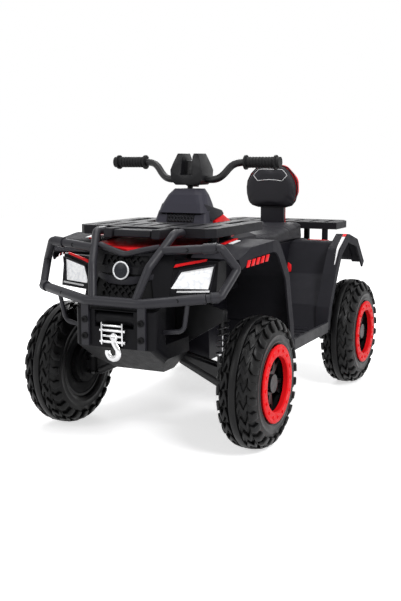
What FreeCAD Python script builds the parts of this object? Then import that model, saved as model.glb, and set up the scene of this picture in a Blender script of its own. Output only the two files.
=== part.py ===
import FreeCAD, Part
import math
import os
from FreeCAD import Vector as V

# A battery quad bike for children, in millimetres.
# +X is forward, +Y is the rider's left, +Z is up, and the floor is z = 0.
# A DX is how far a place lies ahead of the axle at its end of the vehicle.

# Wheels
WHEELBASE = 840.0
TRACK = 600.0
AXLES_MID_X = -20.0
AXLE_Z = 180.0
TYRE_D = 360.0
TYRE_W = 108.0
TREAD_DEPTH = 6.0
TYRE_WALL = 9.0
LUG_COUNT = 22
LUG_W = 33.0
LUG_SLANT = 14.0
LUG_TOP_W = 52.0
RIB_W = 16.0
SHOULDER_DROP = 12.0
SHOULDER_IN = 7.0
SIDEWALL_SHARE = 0.39
BEAD_D = 200.0
BEAD_W = 88.0
RIM_WALL = 7.0
RIM_DISC_OUT = 36.0
RIM_DISC_T = 10.0
SPOKE_COUNT = 5
SPOKE_GAP_DEG = 42.0
SPOKE_SLOT_DEG = 13.0
WINDOW_IN_R = 34.0
SLOT_IN_R = 58.0
WINDOW_OUT_R = 86.0
HUB_R = 25.0
HUB_IN = -10.0
HUB_OUT = 46.0
NUT_IN = 24.0
NUT_T = 10.0
NUT_R = 12.0
NUT_ROOM = 2.0
RING_D = 212.0
RING_BORE_D = 150.0
RING_T = 5.0
RING_SPIGOT_R = 97.0
SIDEWALL_IN_D = 216.0
RING_STUD_COUNT = 16
RING_STUD_R = 4.5
RING_STUD_H = 2.0
SPINDLE_R = 8.0

# Fits
RUN_CLEAR = 0.1
SEAT_CLEAR = 0.3
PART_CLEAR = 1.0

# Front suspension and steering
KINGPIN_INSET = 78.0
KNUCKLE_R = 13.0
KNUCKLE_H = 44.0
TRUNNION_R = 6.0
FORK_T = 6.0
FORK_HALF_W = 12.0
FORK_BACK = 28.0
FORK_EYE_R = 16.0
CASE_R = 56.0
FLANGE_R = 40.0
FLANGE_OFF = 16.0
FLANGE_T = 6.0
STEER_ARM = 60.0
STEER_ARM_W = 16.0
STEER_ARM_T = 6.0
STUD_R = 4.0
EYE_R = 9.0
EYE_T = 10.0
TIE_R = 5.0
PITMAN_HALF = 14.0
PITMAN_PIN_R = 4.0
PITMAN_PLAY = 6.5
PITMAN_EYE_WALL = 3.0
PITMAN_EYE_T = 8.0
PITMAN_T = 6.0
PITMAN_GAP = 9.0
ARM_PIVOT_Y = 50.0
ARM_PIVOT_Z = 232.0
ARM_TUBE_R = 8.0
ARM_SPREAD = 10.0
WEB_GAP = 18.0
SLEEVE_R = 11.0
SLEEVE_HALF = 22.0
PIVOT_PIN_R = 6.0
SHOCK_INSET = 26.0
SHOCK_LOW_Z = 232.0
SHOCK_LEN = 130.0
SHOCK_EYE_R = 10.0
SHOCK_EYE_W = 14.0
SHOCK_PIN_R = 5.0
SHOCK_TUBE_R = 11.0
SHOCK_BORE_R = 8.5
SHOCK_ROD_R = 4.5
SHOCK_TUBE_LEN = 52.0
SHOCK_ROD_LEN = 92.0
COLLAR_R = 19.0
COLLAR_T = 4.0
COLLAR_LOW = 14.0
COLLAR_HIGH = 24.0
SPRING_R = 15.5
SPRING_WIRE_R = 2.25
SPRING_TURN_COUNT = 5
EAR_T = 5.0
EAR_HALF_W = 12.0
COLUMN_R = 8.0

# Steel frame
SPINE_HALF_W = 36.0
SPINE_H = 12.0
TOWER_GAP = 22.0
TOWER_T = 6.0
TOWER_TOP_HALF_W = 210.0
TOWER_FOOT_HALF_W = 64.0
TOWER_TOP_Z = 388.0
TOWER_LUG_Z = 330.0
TOWER_LUG_H = 12.0
TOWER_LUG_HALF_W = 18.0
REAR_PLATE_T = 6.0

# Rear suspension
SWING_LEN = 200.0
SWING_PIVOT_Z = 228.0
SWING_TUBE_R = 12.0
SWING_BEAM_R = 13.0
AXLE_TUBE_R = 14.0
AXLE_TUBE_HALF = 198.0
REAR_SHOCK_Y = 150.0
REAR_SHOCK_LEAD = 20.0
CROSS_TUBE_R = 9.0
MOTOR_CAN_R = 19.0
MOTOR_CAN_LEN = 62.0
MOTOR_CAN_OFF = 34.0

# Centre body
TUB_BOTTOM_Z = 203.0
TUB_WALL = 4.0
TUB_HALF_W = 112.0
TUB_FRONT_DX = -88.0
TUB_BREAK_Z = 330.0
TUB_TOP_FRONT_DX = -195.0
TUB_REAR_DX = 235.0
BODY_TOP_Z = 494.0
BATTERY_L = 150.0
BATTERY_W = 100.0
BATTERY_H = 95.0
BATTERY_REAR_DX = 310.0
CONTROL_L = 90.0
CONTROL_W = 80.0
CONTROL_H = 38.0
CONTROL_REAR_DX = -340.0

# Front fenders
FLARE_Y = 316.0
FLARE_TIP_Y = 288.0
FLARE_TAPER_DX = -60.0
FENDER_T = 5.0
FENDER_BEND = 22.0
FENDER_HEEL_BEND = 60.0
FENDER_LIP = 30.0
FENDER_LIP_T = 6.0
DECK_IN_Y = 150.0
FENDER_TIP_DX = 106.0
FENDER_TIP_Z = 520.0
FENDER_BROW_DX = 46.0
FENDER_BROW_Z = 548.0
FENDER_HEEL_DX = -100.0
FENDER_HEEL_Z = 560.0
FENDER_KNEE_DX = -186.0
FENDER_KNEE_Z = 456.0
FENDER_SHIN_DX = -228.0
FENDER_SHIN_Z = 304.0
FENDER_FOOT_DX = -240.0
LINER_LOW_Z = 404.0

# Footwells and rear fenders
FLOOR_Z = 232.0
FLOOR_T = 10.0
SILL_H = 34.0
SILL_W = 9.0
FOOT_REAR_DX = 288.0
TREAD_BAR_COUNT = 6
TREAD_BAR_W = 10.0
TREAD_BAR_H = 3.0
REAR_FLARE_Y = 312.0
REAR_LIP = 26.0
REAR_SHIN_DX = 250.0
REAR_SHIN_Z = 300.0
REAR_KNEE_DX = 143.0
REAR_KNEE_Z = 392.0
REAR_CREST_DX = 90.0
REAR_CREST_Z = 500.0
REAR_DECK_DX = -42.0
REAR_DECK_Z = 486.0
REAR_TIP_DX = -105.0
REAR_TIP_Z = 420.0
BAND_IN_Y = 268.0
BAND_SHIN_DX = 270.0
BAND_KNEE_DX = 214.0
BAND_KNEE_Z = 400.0
BAND_SHOULDER_DX = 164.0
BAND_SHOULDER_Z = 478.0
BAND_CREST_DX = 74.0
BAND_CREST_Z = 524.0
BAND_DECK_DX = -34.0
BAND_DECK_Z = 498.0
BAND_TIP_DX = -120.0
BAND_TIP_Z = 412.0

# Tail, seat, tank, column cover, backrest
TAIL_LOW_Z = 300.0
TAIL_TOP_BREAK_DX = -40.0
TAIL_REAR_DX = -172.0
TAIL_REAR_Z = 468.0
TAIL_FOOT_DX = -120.0
SEAT_FRONT_DX = 392.0
SEAT_REAR_DX = -6.0
SEAT_OVERHANG = 12.0
SEAT_NOSE_HALF_W = 96.0
SEAT_NOSE_Z = 536.0
SEAT_DIP_DX = 270.0
SEAT_DIP_Z = 532.0
SEAT_BACK_Z = 556.0
SEAT_ROUND = 16.0
TANK_FRONT_DX = -178.0
TANK_TOP_Z = 618.0
TANK_BREAK_DX = -280.0
TANK_BREAK_Z = 586.0
TANK_HALF_W = 104.0
TANK_TOP_HALF_W = 66.0
COVER_BASE_FRONT_DX = -110.0
COVER_BASE_HALF_W = 96.0
COVER_NECK_Z = 620.0
COVER_NECK_FRONT_DX = -138.0
COVER_NECK_HALF_W = 81.0
VISOR_FRONT_DX = -127.0
VISOR_HALF_W = 80.0
VISOR_MID_Z = 646.0
VISOR_MID_FRONT_DX = -139.0
VISOR_MID_HALF_W = 71.0
VISOR_HIGH_Z = 671.0
VISOR_HIGH_FRONT_DX = -153.0
VISOR_HIGH_HALF_W = 60.0
COVER_TOP_Z = 688.0
COVER_TOP_FRONT_DX = -169.0
COVER_TOP_HALF_W = 45.0
COVER_REAR_DX = -214.0
COVER_WALL = 5.0
COVER_CORNER = 24.0
COVER_CORNER_SHARE = 0.4
CORNER_POINT_COUNT = 5
COLUMN_ROOM = 3.0
VENT_HALF_W = 44.0
VENT_LOW_Z = 592.0
VENT_DEPTH = 3.0
BACK_FRONT_DX = 16.0
BACK_PAD_T = 26.0
BACK_SHELL_T = 20.0
BACK_LOW_Z = 604.0
BACK_TOP_Z = 752.0
BACK_HALF_W = 97.0
BACK_SHOULDER_HALF_W = 95.0
BACK_TOP_HALF_W = 50.0
BACK_LOW_HALF_W = 73.0
BACK_WAIST_Z = 656.0
BACK_SHOULDER_Z = 704.0
BACK_ROUND = 38.0
POST_HALF_W = 44.0

# Hood, fascia, headlights, grille
HOOD_T = 5.0
HOOD_NOSE_DX = 178.0
HOOD_NOSE_Z = 542.0
HOOD_WING_DX = 120.0
HOOD_REAR_DX = -174.0
HOOD_HOLE_FRONT_DX = -119.0
HOOD_HOLE_HALF_W = 80.0
FASCIA_LOW_Z = 408.0
FASCIA_LOW_DX = 228.0
FASCIA_LEAN = 50.0
FASCIA_FLAT_HALF_W = 46.0
FASCIA_HALF_W = 126.0
FASCIA_SIDE_DX = 188.0
FASCIA_BACK_DX = 80.0
WING_OUT_Y = 236.0
WING_OUT_DX = 136.0
WING_LOW_Z = 428.0
WING_TOP_Z = 514.0
WING_BACK_DX = 70.0
LENS_IN_Y = 126.0
LENS_IN_TOP_Y = 146.0
LENS_OUT_Y = 216.0
LENS_OUT_TOP_Y = 227.0
LENS_LOW_Z = 444.0
LENS_TOP_IN_Z = 486.0
LENS_TOP_OUT_Z = 502.0
LENS_T = 14.0
GRILLE_LOW_HALF_W = 92.0
GRILLE_TOP_HALF_W = 66.0
GRILLE_LOW_Z = 418.0
GRILLE_TOP_Z = 526.0
GRILLE_BAR_LOW_Z = 480.0
GRILLE_BAR_HIGH_Z = 498.0
GRILLE_DEPTH = 12.0
GRILLE_IN = 6.0
GRILLE_T = 4.0
GRILLE_PITCH = 20.0
GRILLE_STRAND = 4.0
BADGE_R = 24.0
BADGE_H = 5.0

# Front lower housing, bumper, winch
HOUSING_BACK_DX = 56.0
HOUSING_FRONT_DX = 246.0
HOUSING_HALF_W = 120.0
HOUSING_LOW_Z = 208.0
HOUSING_KEEL_DX = 116.0
HOUSING_CHIN_Z = 292.0
HOUSING_BROW_Z = 390.0
HOUSING_SHELF_DX = 192.0
SKID_W = 46.0
SKID_H = 52.0
POCKET_DX = 188.0
POCKET_HALF_W = 78.0
POCKET_Z = 300.0
DRUM_R = 19.0
DRUM_HALF_W = 58.0
DRUM_Z = 366.0
DRUM_BAY = 44.0
BAR_DX = 248.0
BAR_Z = 412.0
BAR_R = 13.0
BAR_BEND = 40.0
BAR_FLAT_Y = 84.0
BAR_END_DX = 192.0
BAR_END_Y = 236.0
BAR_END_Z = 428.0
PLATE_Y = 84.0
PLATE_HALF_W = 11.0
PLATE_T = 8.0
PLATE_LOW_Z = 294.0
STAY_R = 6.0
STAY_BEND = 24.0
STAY_TOP_SHARE = 0.72
STAY_KNEE_DX = 200.0
STAY_KNEE_Y = 178.0
STAY_KNEE_Z = 342.0
STAY_END_Z = 334.0
BOLT_R = 6.0
BOLT_H = 5.0
BOLT_LOW_Z = 318.0
BOLT_HIGH_Z = 364.0
GUARD_R = 11.0
GUARD_FOOT_Y = 62.0
GUARD_KINK_DX = 212.0
GUARD_KINK_Y = 84.0
GUARD_KINK_Z = 500.0
GUARD_TOP_Y = 118.0
GUARD_TOP_DX = 136.0
GUARD_TOP_Z = 582.0
LOOP_TOP_DX = 145.0
LOOP_TOP_Y = 256.0
LOOP_TOP_Z = 552.0
LOOP_OUT_DX = 120.0
LOOP_OUT_Y = 290.0
LOOP_OUT_Z = 498.0
LOOP_LOW_DX = 174.0
LOOP_LOW_Y = 268.0
LOOP_LOW_Z = 432.0
SLEEVE_EXTRA = 3.0
LOOP_SLEEVE_LEN = 34.0
FAIRLEAD_HALF_W = 35.0
FAIRLEAD_LOW_Z = 304.0
FAIRLEAD_HIGH_Z = 353.0
FAIRLEAD_T = 6.0
FAIRLEAD_RIM = 9.0
ROLLER_R = 5.5
ROLLER_NUB = 5.0
HOOK_R = 7.0
HOOK_BEND = 12.0
HOOK_HALF_W = 13.0
HOOK_EYE_Z = 318.0
HOOK_NECK_Z = 302.0
HOOK_SHOULDER_Z = 290.0
HOOK_LOW_Z = 266.0

# Racks
RACK_Z = 570.0
RACK_T = 24.0
RACK_FRONT_DX = 92.0
RACK_REAR_DX = -270.0
RACK_HALF_W = 208.0
RACK_CORNER = 22.0
RACK_NOTCH_HALF_W = 106.0
RACK_NOTCH_DX = -94.0
RACK_GROOVE_COUNT = 7
RACK_GROOVE_W = 14.0
RACK_GROOVE_DEPTH = 9.0
RACK_RIM = 30.0
RACK_POST_R = 11.0
RACK_POST_FRONT_DX = 30.0
RACK_POST_REAR_DX = -50.0
RACK_POST_Y = 184.0
REAR_RACK_Z = 526.0
REAR_RACK_FRONT_DX = -58.0
REAR_RACK_HALF_W = 226.0
REAR_RACK_TAIL_HALF_W = 204.0
REAR_POST_FRONT_DX = -70.0
REAR_POST_REAR_DX = -150.0
REAR_POST_FRONT_Y = 180.0
REAR_POST_REAR_Y = 84.0

# Handlebar
BAR_CLAMP_DX = -204.0
BAR_CLAMP_Z = 716.0
HANDLE_R = 11.0
HANDLE_LOW_Y = 66.0
HANDLE_RISE_Y = 152.0
HANDLE_GRIP_DX = -222.0
HANDLE_GRIP_Z = 764.0
HANDLE_END_Y = 266.0
HANDLE_BEND = 30.0
GRIP_R = 16.0
GRIP_LEN = 108.0
GRIP_END_LEN = 16.0
GRIP_FLANGE_R = 21.0
GRIP_FLANGE_T = 5.0
GRIP_RIB_COUNT = 9
GRIP_RIB_DEPTH = 1.6
GRIP_RIB_W = 5.0
POD_HALF_W = 69.0
POD_TOP_HALF_W = 41.0
POD_LOW_HALF_W = 56.0
POD_DEPTH = 96.0
POD_LOW = -18.0
POD_MID = 18.0
POD_TOP = 66.0
POD_NOTCH_HALF_W = 15.0
POD_NOTCH_DEPTH = 12.0
CLAMP_HALF = 18.0

# Controls
PEDAL_Y = -205.0
PEDAL_W = 64.0
PEDAL_L = 92.0
PEDAL_T = 7.0
PEDAL_HEEL_DX = -362.0
PEDAL_TILT_DEG = 28.0
PEDAL_PIN_R = 4.0
PEDAL_KNUCKLE_R = 8.0
BUTTON_R = 10.0
BUTTON_H = 18.0
BUTTON_PROUD = 5.0
BUTTON_DX = -235.0
BUTTON_Y = 32.0
DASH_L = 80.0
DASH_HALF_W = 54.0
ROCKER_R = 9.0
ROCKER_W = 20.0
ROCKER_LEVER_H = 6.0
ROCKER_LEVER_T = 4.0

# Places worked out from the sizes above
FRONT_X = AXLES_MID_X + WHEELBASE / 2
REAR_X = AXLES_MID_X - WHEELBASE / 2
TUB_FRONT_X = FRONT_X + TUB_FRONT_DX
TUB_TOP_FRONT_X = FRONT_X + TUB_TOP_FRONT_DX
CONTROL_REAR_X = FRONT_X + CONTROL_REAR_DX
FLARE_TAPER_X = FRONT_X + FLARE_TAPER_DX
FENDER_TIP_X = FRONT_X + FENDER_TIP_DX
FENDER_BROW_X = FRONT_X + FENDER_BROW_DX
FENDER_HEEL_X = FRONT_X + FENDER_HEEL_DX
FENDER_KNEE_X = FRONT_X + FENDER_KNEE_DX
FENDER_SHIN_X = FRONT_X + FENDER_SHIN_DX
FENDER_FOOT_X = FRONT_X + FENDER_FOOT_DX
TANK_FRONT_X = FRONT_X + TANK_FRONT_DX
TANK_BREAK_X = FRONT_X + TANK_BREAK_DX
COVER_BASE_FRONT_X = FRONT_X + COVER_BASE_FRONT_DX
COVER_NECK_FRONT_X = FRONT_X + COVER_NECK_FRONT_DX
VISOR_FRONT_X = FRONT_X + VISOR_FRONT_DX
VISOR_MID_FRONT_X = FRONT_X + VISOR_MID_FRONT_DX
VISOR_HIGH_FRONT_X = FRONT_X + VISOR_HIGH_FRONT_DX
COVER_TOP_FRONT_X = FRONT_X + COVER_TOP_FRONT_DX
COVER_REAR_X = FRONT_X + COVER_REAR_DX
HOOD_NOSE_X = FRONT_X + HOOD_NOSE_DX
HOOD_WING_X = FRONT_X + HOOD_WING_DX
HOOD_REAR_X = FRONT_X + HOOD_REAR_DX
HOOD_HOLE_FRONT_X = FRONT_X + HOOD_HOLE_FRONT_DX
FASCIA_LOW_X = FRONT_X + FASCIA_LOW_DX
FASCIA_SIDE_X = FRONT_X + FASCIA_SIDE_DX
FASCIA_BACK_X = FRONT_X + FASCIA_BACK_DX
WING_OUT_X = FRONT_X + WING_OUT_DX
WING_BACK_X = FRONT_X + WING_BACK_DX
HOUSING_BACK_X = FRONT_X + HOUSING_BACK_DX
HOUSING_FRONT_X = FRONT_X + HOUSING_FRONT_DX
HOUSING_KEEL_X = FRONT_X + HOUSING_KEEL_DX
HOUSING_SHELF_X = FRONT_X + HOUSING_SHELF_DX
BAR_X = FRONT_X + BAR_DX
BAR_END_X = FRONT_X + BAR_END_DX
POCKET_X = FRONT_X + POCKET_DX
STAY_KNEE_X = FRONT_X + STAY_KNEE_DX
GUARD_KINK_X = FRONT_X + GUARD_KINK_DX
GUARD_TOP_X = FRONT_X + GUARD_TOP_DX
LOOP_TOP_X = FRONT_X + LOOP_TOP_DX
LOOP_OUT_X = FRONT_X + LOOP_OUT_DX
LOOP_LOW_X = FRONT_X + LOOP_LOW_DX
RACK_FRONT_X = FRONT_X + RACK_FRONT_DX
RACK_REAR_X = FRONT_X + RACK_REAR_DX
RACK_NOTCH_X = FRONT_X + RACK_NOTCH_DX
RACK_POST_FRONT_X = FRONT_X + RACK_POST_FRONT_DX
RACK_POST_REAR_X = FRONT_X + RACK_POST_REAR_DX
BAR_CLAMP_X = FRONT_X + BAR_CLAMP_DX
HANDLE_GRIP_X = FRONT_X + HANDLE_GRIP_DX
PEDAL_HEEL_X = FRONT_X + PEDAL_HEEL_DX
BUTTON_X = FRONT_X + BUTTON_DX
FOOT_REAR_X = REAR_X + FOOT_REAR_DX
REAR_SHIN_X = REAR_X + REAR_SHIN_DX
REAR_KNEE_X = REAR_X + REAR_KNEE_DX
REAR_CREST_X = REAR_X + REAR_CREST_DX
REAR_DECK_X = REAR_X + REAR_DECK_DX
REAR_TIP_X = REAR_X + REAR_TIP_DX
BAND_SHIN_X = REAR_X + BAND_SHIN_DX
BAND_KNEE_X = REAR_X + BAND_KNEE_DX
BAND_SHOULDER_X = REAR_X + BAND_SHOULDER_DX
BAND_CREST_X = REAR_X + BAND_CREST_DX
BAND_DECK_X = REAR_X + BAND_DECK_DX
BAND_TIP_X = REAR_X + BAND_TIP_DX
TAIL_TOP_BREAK_X = REAR_X + TAIL_TOP_BREAK_DX
TAIL_REAR_X = REAR_X + TAIL_REAR_DX
TAIL_FOOT_X = REAR_X + TAIL_FOOT_DX
SEAT_FRONT_X = REAR_X + SEAT_FRONT_DX
SEAT_REAR_X = REAR_X + SEAT_REAR_DX
SEAT_DIP_X = REAR_X + SEAT_DIP_DX
BACK_FRONT_X = REAR_X + BACK_FRONT_DX
TUB_REAR_X = REAR_X + TUB_REAR_DX
BATTERY_REAR_X = REAR_X + BATTERY_REAR_DX
REAR_RACK_FRONT_X = REAR_X + REAR_RACK_FRONT_DX
REAR_POST_FRONT_X = REAR_X + REAR_POST_FRONT_DX
REAR_POST_REAR_X = REAR_X + REAR_POST_REAR_DX
TYRE_R = TYRE_D / 2
LIFT = TYRE_R - AXLE_Z
SIDEWALL_D = SIDEWALL_IN_D + (TYRE_D - SIDEWALL_IN_D) * SIDEWALL_SHARE
WHEEL_Y = TRACK / 2
KINGPIN_Y = WHEEL_Y - KINGPIN_INSET
SHOCK_Y = KINGPIN_Y - SHOCK_INSET
TIE_X = FRONT_X - STEER_ARM
TIE_IN_Z = ARM_PIVOT_Z + STUD_R
TIE_OUT_Z = AXLE_Z + STEER_ARM_T / 2 + SEAT_CLEAR + EYE_T / 2
SPINE_Z = TUB_BOTTOM_Z + TUB_WALL
TOWER_X = FRONT_X + TOWER_GAP
PITMAN_Z = TIE_IN_Z + PITMAN_EYE_T / 2 + PITMAN_GAP
COLUMN_FOOT = V(FRONT_X, 0, PITMAN_Z + PITMAN_T / 2)
COLUMN_HEAD = V(BAR_CLAMP_X, 0, BAR_CLAMP_Z)
COLUMN_AXIS = (COLUMN_HEAD - COLUMN_FOOT).normalize()
COLUMN_RAKE = math.degrees(math.atan2(-COLUMN_AXIS.x, COLUMN_AXIS.z))
SWING_PIVOT_X = REAR_X + SWING_LEN
REAR_SHOCK_X = REAR_X + REAR_SHOCK_LEAD
DASH_X = BUTTON_X - DASH_L / 2
SEAT_HALF_W = TUB_HALF_W + SEAT_OVERHANG


def box(x0, x1, y0, y1, z0, z1):
    return Part.makeBox(x1 - x0, y1 - y0, z1 - z0, V(x0, y0, z0))


def rod(start, end, radius):
    return Part.makeCylinder(radius, (end - start).Length, start, end - start)


def mirrored(shape):
    return shape.mirror(V(0, 0, 0), V(0, 1, 0))


def both_sides(shape):
    return Part.makeCompound([shape, mirrored(shape)])


def prism_xz(points, y0, y1):
    corners = [V(x, y0, z) for x, z in points]
    return Part.Face(Part.makePolygon(corners + corners[:1])).extrude(V(0, y1 - y0, 0))


def prism_xy(points, z0, z1):
    corners = [V(x, y, z0) for x, y in points]
    return Part.Face(Part.makePolygon(corners + corners[:1])).extrude(V(0, 0, z1 - z0))


def prism_yz(points, x0, x1):
    corners = [V(x0, y, z) for y, z in points]
    return Part.Face(Part.makePolygon(corners + corners[:1])).extrude(V(x1 - x0, 0, 0))


def turned(profile):
    # A ring about the Y axis from (radius, along) points.
    corners = [V(0, along, radius) for radius, along in profile]
    face = Part.Face(Part.makePolygon(corners + corners[:1]))
    return face.revolve(V(0, 0, 0), V(0, 1, 0), 360)


def loft(*sections):
    wires = [Part.makePolygon(points + points[:1]) for points in sections]
    return Part.makeLoft(wires, True, True)


def corner_arc(before, corner, after, reach):
    # The arc that leaves both legs of a corner at the same reach.
    u = (before - corner).normalize()
    w = (after - corner).normalize()
    half = u.getAngle(w) / 2
    radius = reach * math.tan(half)
    mid = corner + (u + w).normalize() * (radius / math.sin(half) - radius)
    return Part.Arc(corner + u * reach, mid, corner + w * reach).toShape()


def bent_edges(points, radius):
    edges = []
    start = points[0]
    for before, corner, after in zip(points, points[1:], points[2:]):
        half = (before - corner).getAngle(after - corner) / 2
        arc = corner_arc(before, corner, after, radius / math.tan(half))
        edges.append(Part.makeLine(start, arc.Vertexes[0].Point))
        edges.append(arc)
        start = arc.Vertexes[-1].Point
    edges.append(Part.makeLine(start, points[-1]))
    return edges


def tube(points, radius, bend):
    path = Part.Wire(bent_edges(points, bend))
    ring = Part.Wire(Part.makeCircle(radius, points[0], points[1] - points[0]))
    return path.makePipe(Part.Face(ring))


def shifted_line(points, distance):
    # The same line in the XZ plane, moved to its left by the distance.
    moved = []
    for i, point in enumerate(points):
        normals = []
        for a, b in zip(points[max(i - 1, 0):i + 1], points[max(i, 1):i + 2]):
            leg = (b - a).normalize()
            normals.append(V(-leg.z, 0, leg.x))
        mean = sum(normals[1:], normals[0]).normalize()
        moved.append(point + mean * (distance / mean.dot(normals[0])))
    return moved


def bent_sheet(points, bend, thickness, y0, y1):
    outer = [V(x, y0, z) for x, z in points]
    inner = shifted_line(outer, thickness)
    ends = [Part.makeLine(outer[0], inner[0]), Part.makeLine(outer[-1], inner[-1])]
    edges = bent_edges(outer, bend) + bent_edges(inner, bend) + ends
    wire = Part.Wire(Part.__sortEdges__(edges))
    return Part.Face(wire).extrude(V(0, y1 - y0, 0))


def under_line(points, bend, corners, y0, y1):
    # What lies under a bent line, closed by straight legs through the corners.
    line = [V(x, y0, z) for x, z in points]
    edges = bent_edges(line, bend)
    legs = [line[-1]] + [V(x, y0, z) for x, z in corners] + [line[0]]
    for a, b in zip(legs, legs[1:]):
        edges.append(Part.makeLine(a, b))
    return Part.Face(Part.Wire(Part.__sortEdges__(edges))).extrude(V(0, y1 - y0, 0))


def rounded_loop(corners, reach):
    points = []
    for i, corner in enumerate(corners):
        arc = corner_arc(corners[i - 1], corner, corners[(i + 1) % len(corners)], reach)
        points += arc.discretize(CORNER_POINT_COUNT)
    return points


def ring_cut(centre, axis, radius, reach):
    return rod(centre - axis * reach, centre + axis * reach, radius)


# Wheels, made at the origin with the outer side towards +Y
def tread_lug(side, offset):
    half = LUG_W / 2
    inner = RIB_W / 2 + TREAD_DEPTH / 3
    bend = TYRE_W / 4
    outer = TYRE_W / 2 + TREAD_DEPTH
    outline = [
        (-half, inner),
        (half, inner),
        (half + LUG_SLANT, bend),
        (half + LUG_SLANT, outer),
        (-half + LUG_SLANT, outer),
        (-half + LUG_SLANT, bend + TREAD_DEPTH / 2),
    ]
    lug = prism_xy([(s, side * a) for s, a in outline], SIDEWALL_D / 2 - TREAD_DEPTH, TYRE_R + TREAD_DEPTH)
    lug.rotate(V(0, 0, 0), V(0, 1, 0), offset)
    return lug


def make_tyre():
    bead = BEAD_D / 2
    half = TYRE_W / 2
    base_r = TYRE_R - TREAD_DEPTH
    shoulder = half - SHOULDER_IN
    carcass = turned([
        (bead, -BEAD_W / 2),
        (bead, BEAD_W / 2),
        (SIDEWALL_IN_D / 2, half - PART_CLEAR),
        (SIDEWALL_D / 2, half),
        (base_r - SHOULDER_DROP, shoulder - TREAD_DEPTH / 2),
        (base_r, LUG_TOP_W / 2),
        (base_r, -LUG_TOP_W / 2),
        (base_r - SHOULDER_DROP, TREAD_DEPTH / 2 - shoulder),
        (SIDEWALL_D / 2, -half),
        (SIDEWALL_IN_D / 2, PART_CLEAR - half),
    ])
    envelope = turned([
        (SIDEWALL_D / 2 + TREAD_DEPTH, half),
        (TYRE_R - SHOULDER_DROP, shoulder),
        (TYRE_R, LUG_TOP_W / 2),
        (TYRE_R, -LUG_TOP_W / 2),
        (TYRE_R - SHOULDER_DROP, -shoulder),
        (SIDEWALL_D / 2 + TREAD_DEPTH, -half),
        (SIDEWALL_D / 2 - TREAD_DEPTH / 2, 0),
    ])
    pitch = 360.0 / LUG_COUNT
    lugs = []
    for i in range(LUG_COUNT):
        lugs.append(tread_lug(1, i * pitch))
        lugs.append(tread_lug(-1, (i + 0.5) * pitch))
    tread = envelope.common(Part.makeCompound(lugs))
    rib = turned([
        (base_r - TREAD_DEPTH, -RIB_W / 2),
        (base_r - TREAD_DEPTH, RIB_W / 2),
        (TYRE_R, RIB_W / 2),
        (TYRE_R, -RIB_W / 2),
    ])
    inside = half - TYRE_WALL
    air = turned([
        (bead - TYRE_WALL, -BEAD_W / 2 + TYRE_WALL),
        (bead - TYRE_WALL, BEAD_W / 2 - TYRE_WALL),
        (SIDEWALL_D / 2, inside),
        (base_r - TYRE_WALL * 2, inside - TREAD_DEPTH),
        (base_r - TYRE_WALL, LUG_TOP_W / 2),
        (base_r - TYRE_WALL, -LUG_TOP_W / 2),
        (base_r - TYRE_WALL * 2, TREAD_DEPTH - inside),
        (SIDEWALL_D / 2, -inside),
    ])
    return carcass.multiFuse([rib] + tread.Solids).cut(air)


def wedge(inner_r, outer_r, width_deg, turn_deg, y0, y1):
    half = math.radians(width_deg / 2)
    points = []
    for radius, angle in ((inner_r, -half), (outer_r, -half), (outer_r, half), (inner_r, half)):
        points.append((radius * math.sin(angle), radius * math.cos(angle)))
    cut = prism_xz(points, y0, y1)
    cut.rotate(V(0, 0, 0), V(0, 1, 0), turn_deg)
    return cut


def make_rim():
    bead = BEAD_D / 2 - SEAT_CLEAR
    inside = bead - RIM_WALL
    barrel = turned([(inside, -BEAD_W / 2), (bead, -BEAD_W / 2), (bead, BEAD_W / 2), (inside, BEAD_W / 2)])
    disc_in = RIM_DISC_OUT - RIM_DISC_T
    disc = rod(V(0, disc_in, 0), V(0, RIM_DISC_OUT, 0), inside + RIM_WALL / 2)
    windows = []
    for i in range(SPOKE_COUNT):
        turn = 360.0 * i / SPOKE_COUNT
        windows.append(wedge(WINDOW_IN_R, WINDOW_OUT_R, SPOKE_GAP_DEG, turn, 0, HUB_OUT))
        windows.append(wedge(SLOT_IN_R, WINDOW_OUT_R, SPOKE_SLOT_DEG, turn + 180.0 / SPOKE_COUNT, 0, HUB_OUT))
    disc = disc.cut(Part.makeCompound(windows))
    hub = rod(V(0, HUB_IN, 0), V(0, HUB_OUT, 0), HUB_R)
    bore = rod(V(0, HUB_IN, 0), V(0, NUT_IN, 0), SPINDLE_R + RUN_CLEAR)
    nut_room = rod(V(0, NUT_IN, 0), V(0, NUT_IN + NUT_T + NUT_ROOM, 0), NUT_R + NUT_ROOM)
    return barrel.fuse(disc).fuse(hub).cut(bore).cut(nut_room)


def make_ring():
    back = TYRE_W / 2 + SEAT_CLEAR
    front = back + RING_T
    foot = BEAD_W / 2
    bore = RING_BORE_D / 2
    ring = turned([
        (bore, front - RING_T / 2),
        (bore, foot),
        (RING_SPIGOT_R, foot),
        (RING_SPIGOT_R, back),
        (RING_D / 2, back),
        (RING_D / 2, front - RING_T / 2),
        (RING_D / 2 - RING_T, front),
        (bore + RING_T, front),
    ])
    studs = []
    pitch_r = (RING_D + RING_BORE_D) / 4
    for i in range(RING_STUD_COUNT):
        angle = 2 * math.pi * i / RING_STUD_COUNT
        foot_point = V(pitch_r * math.sin(angle), front - RING_T / 2, pitch_r * math.cos(angle))
        studs.append(rod(foot_point, foot_point + V(0, RING_T / 2 + RING_STUD_H, 0), RING_STUD_R))
    return ring.multiFuse(studs)


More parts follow.
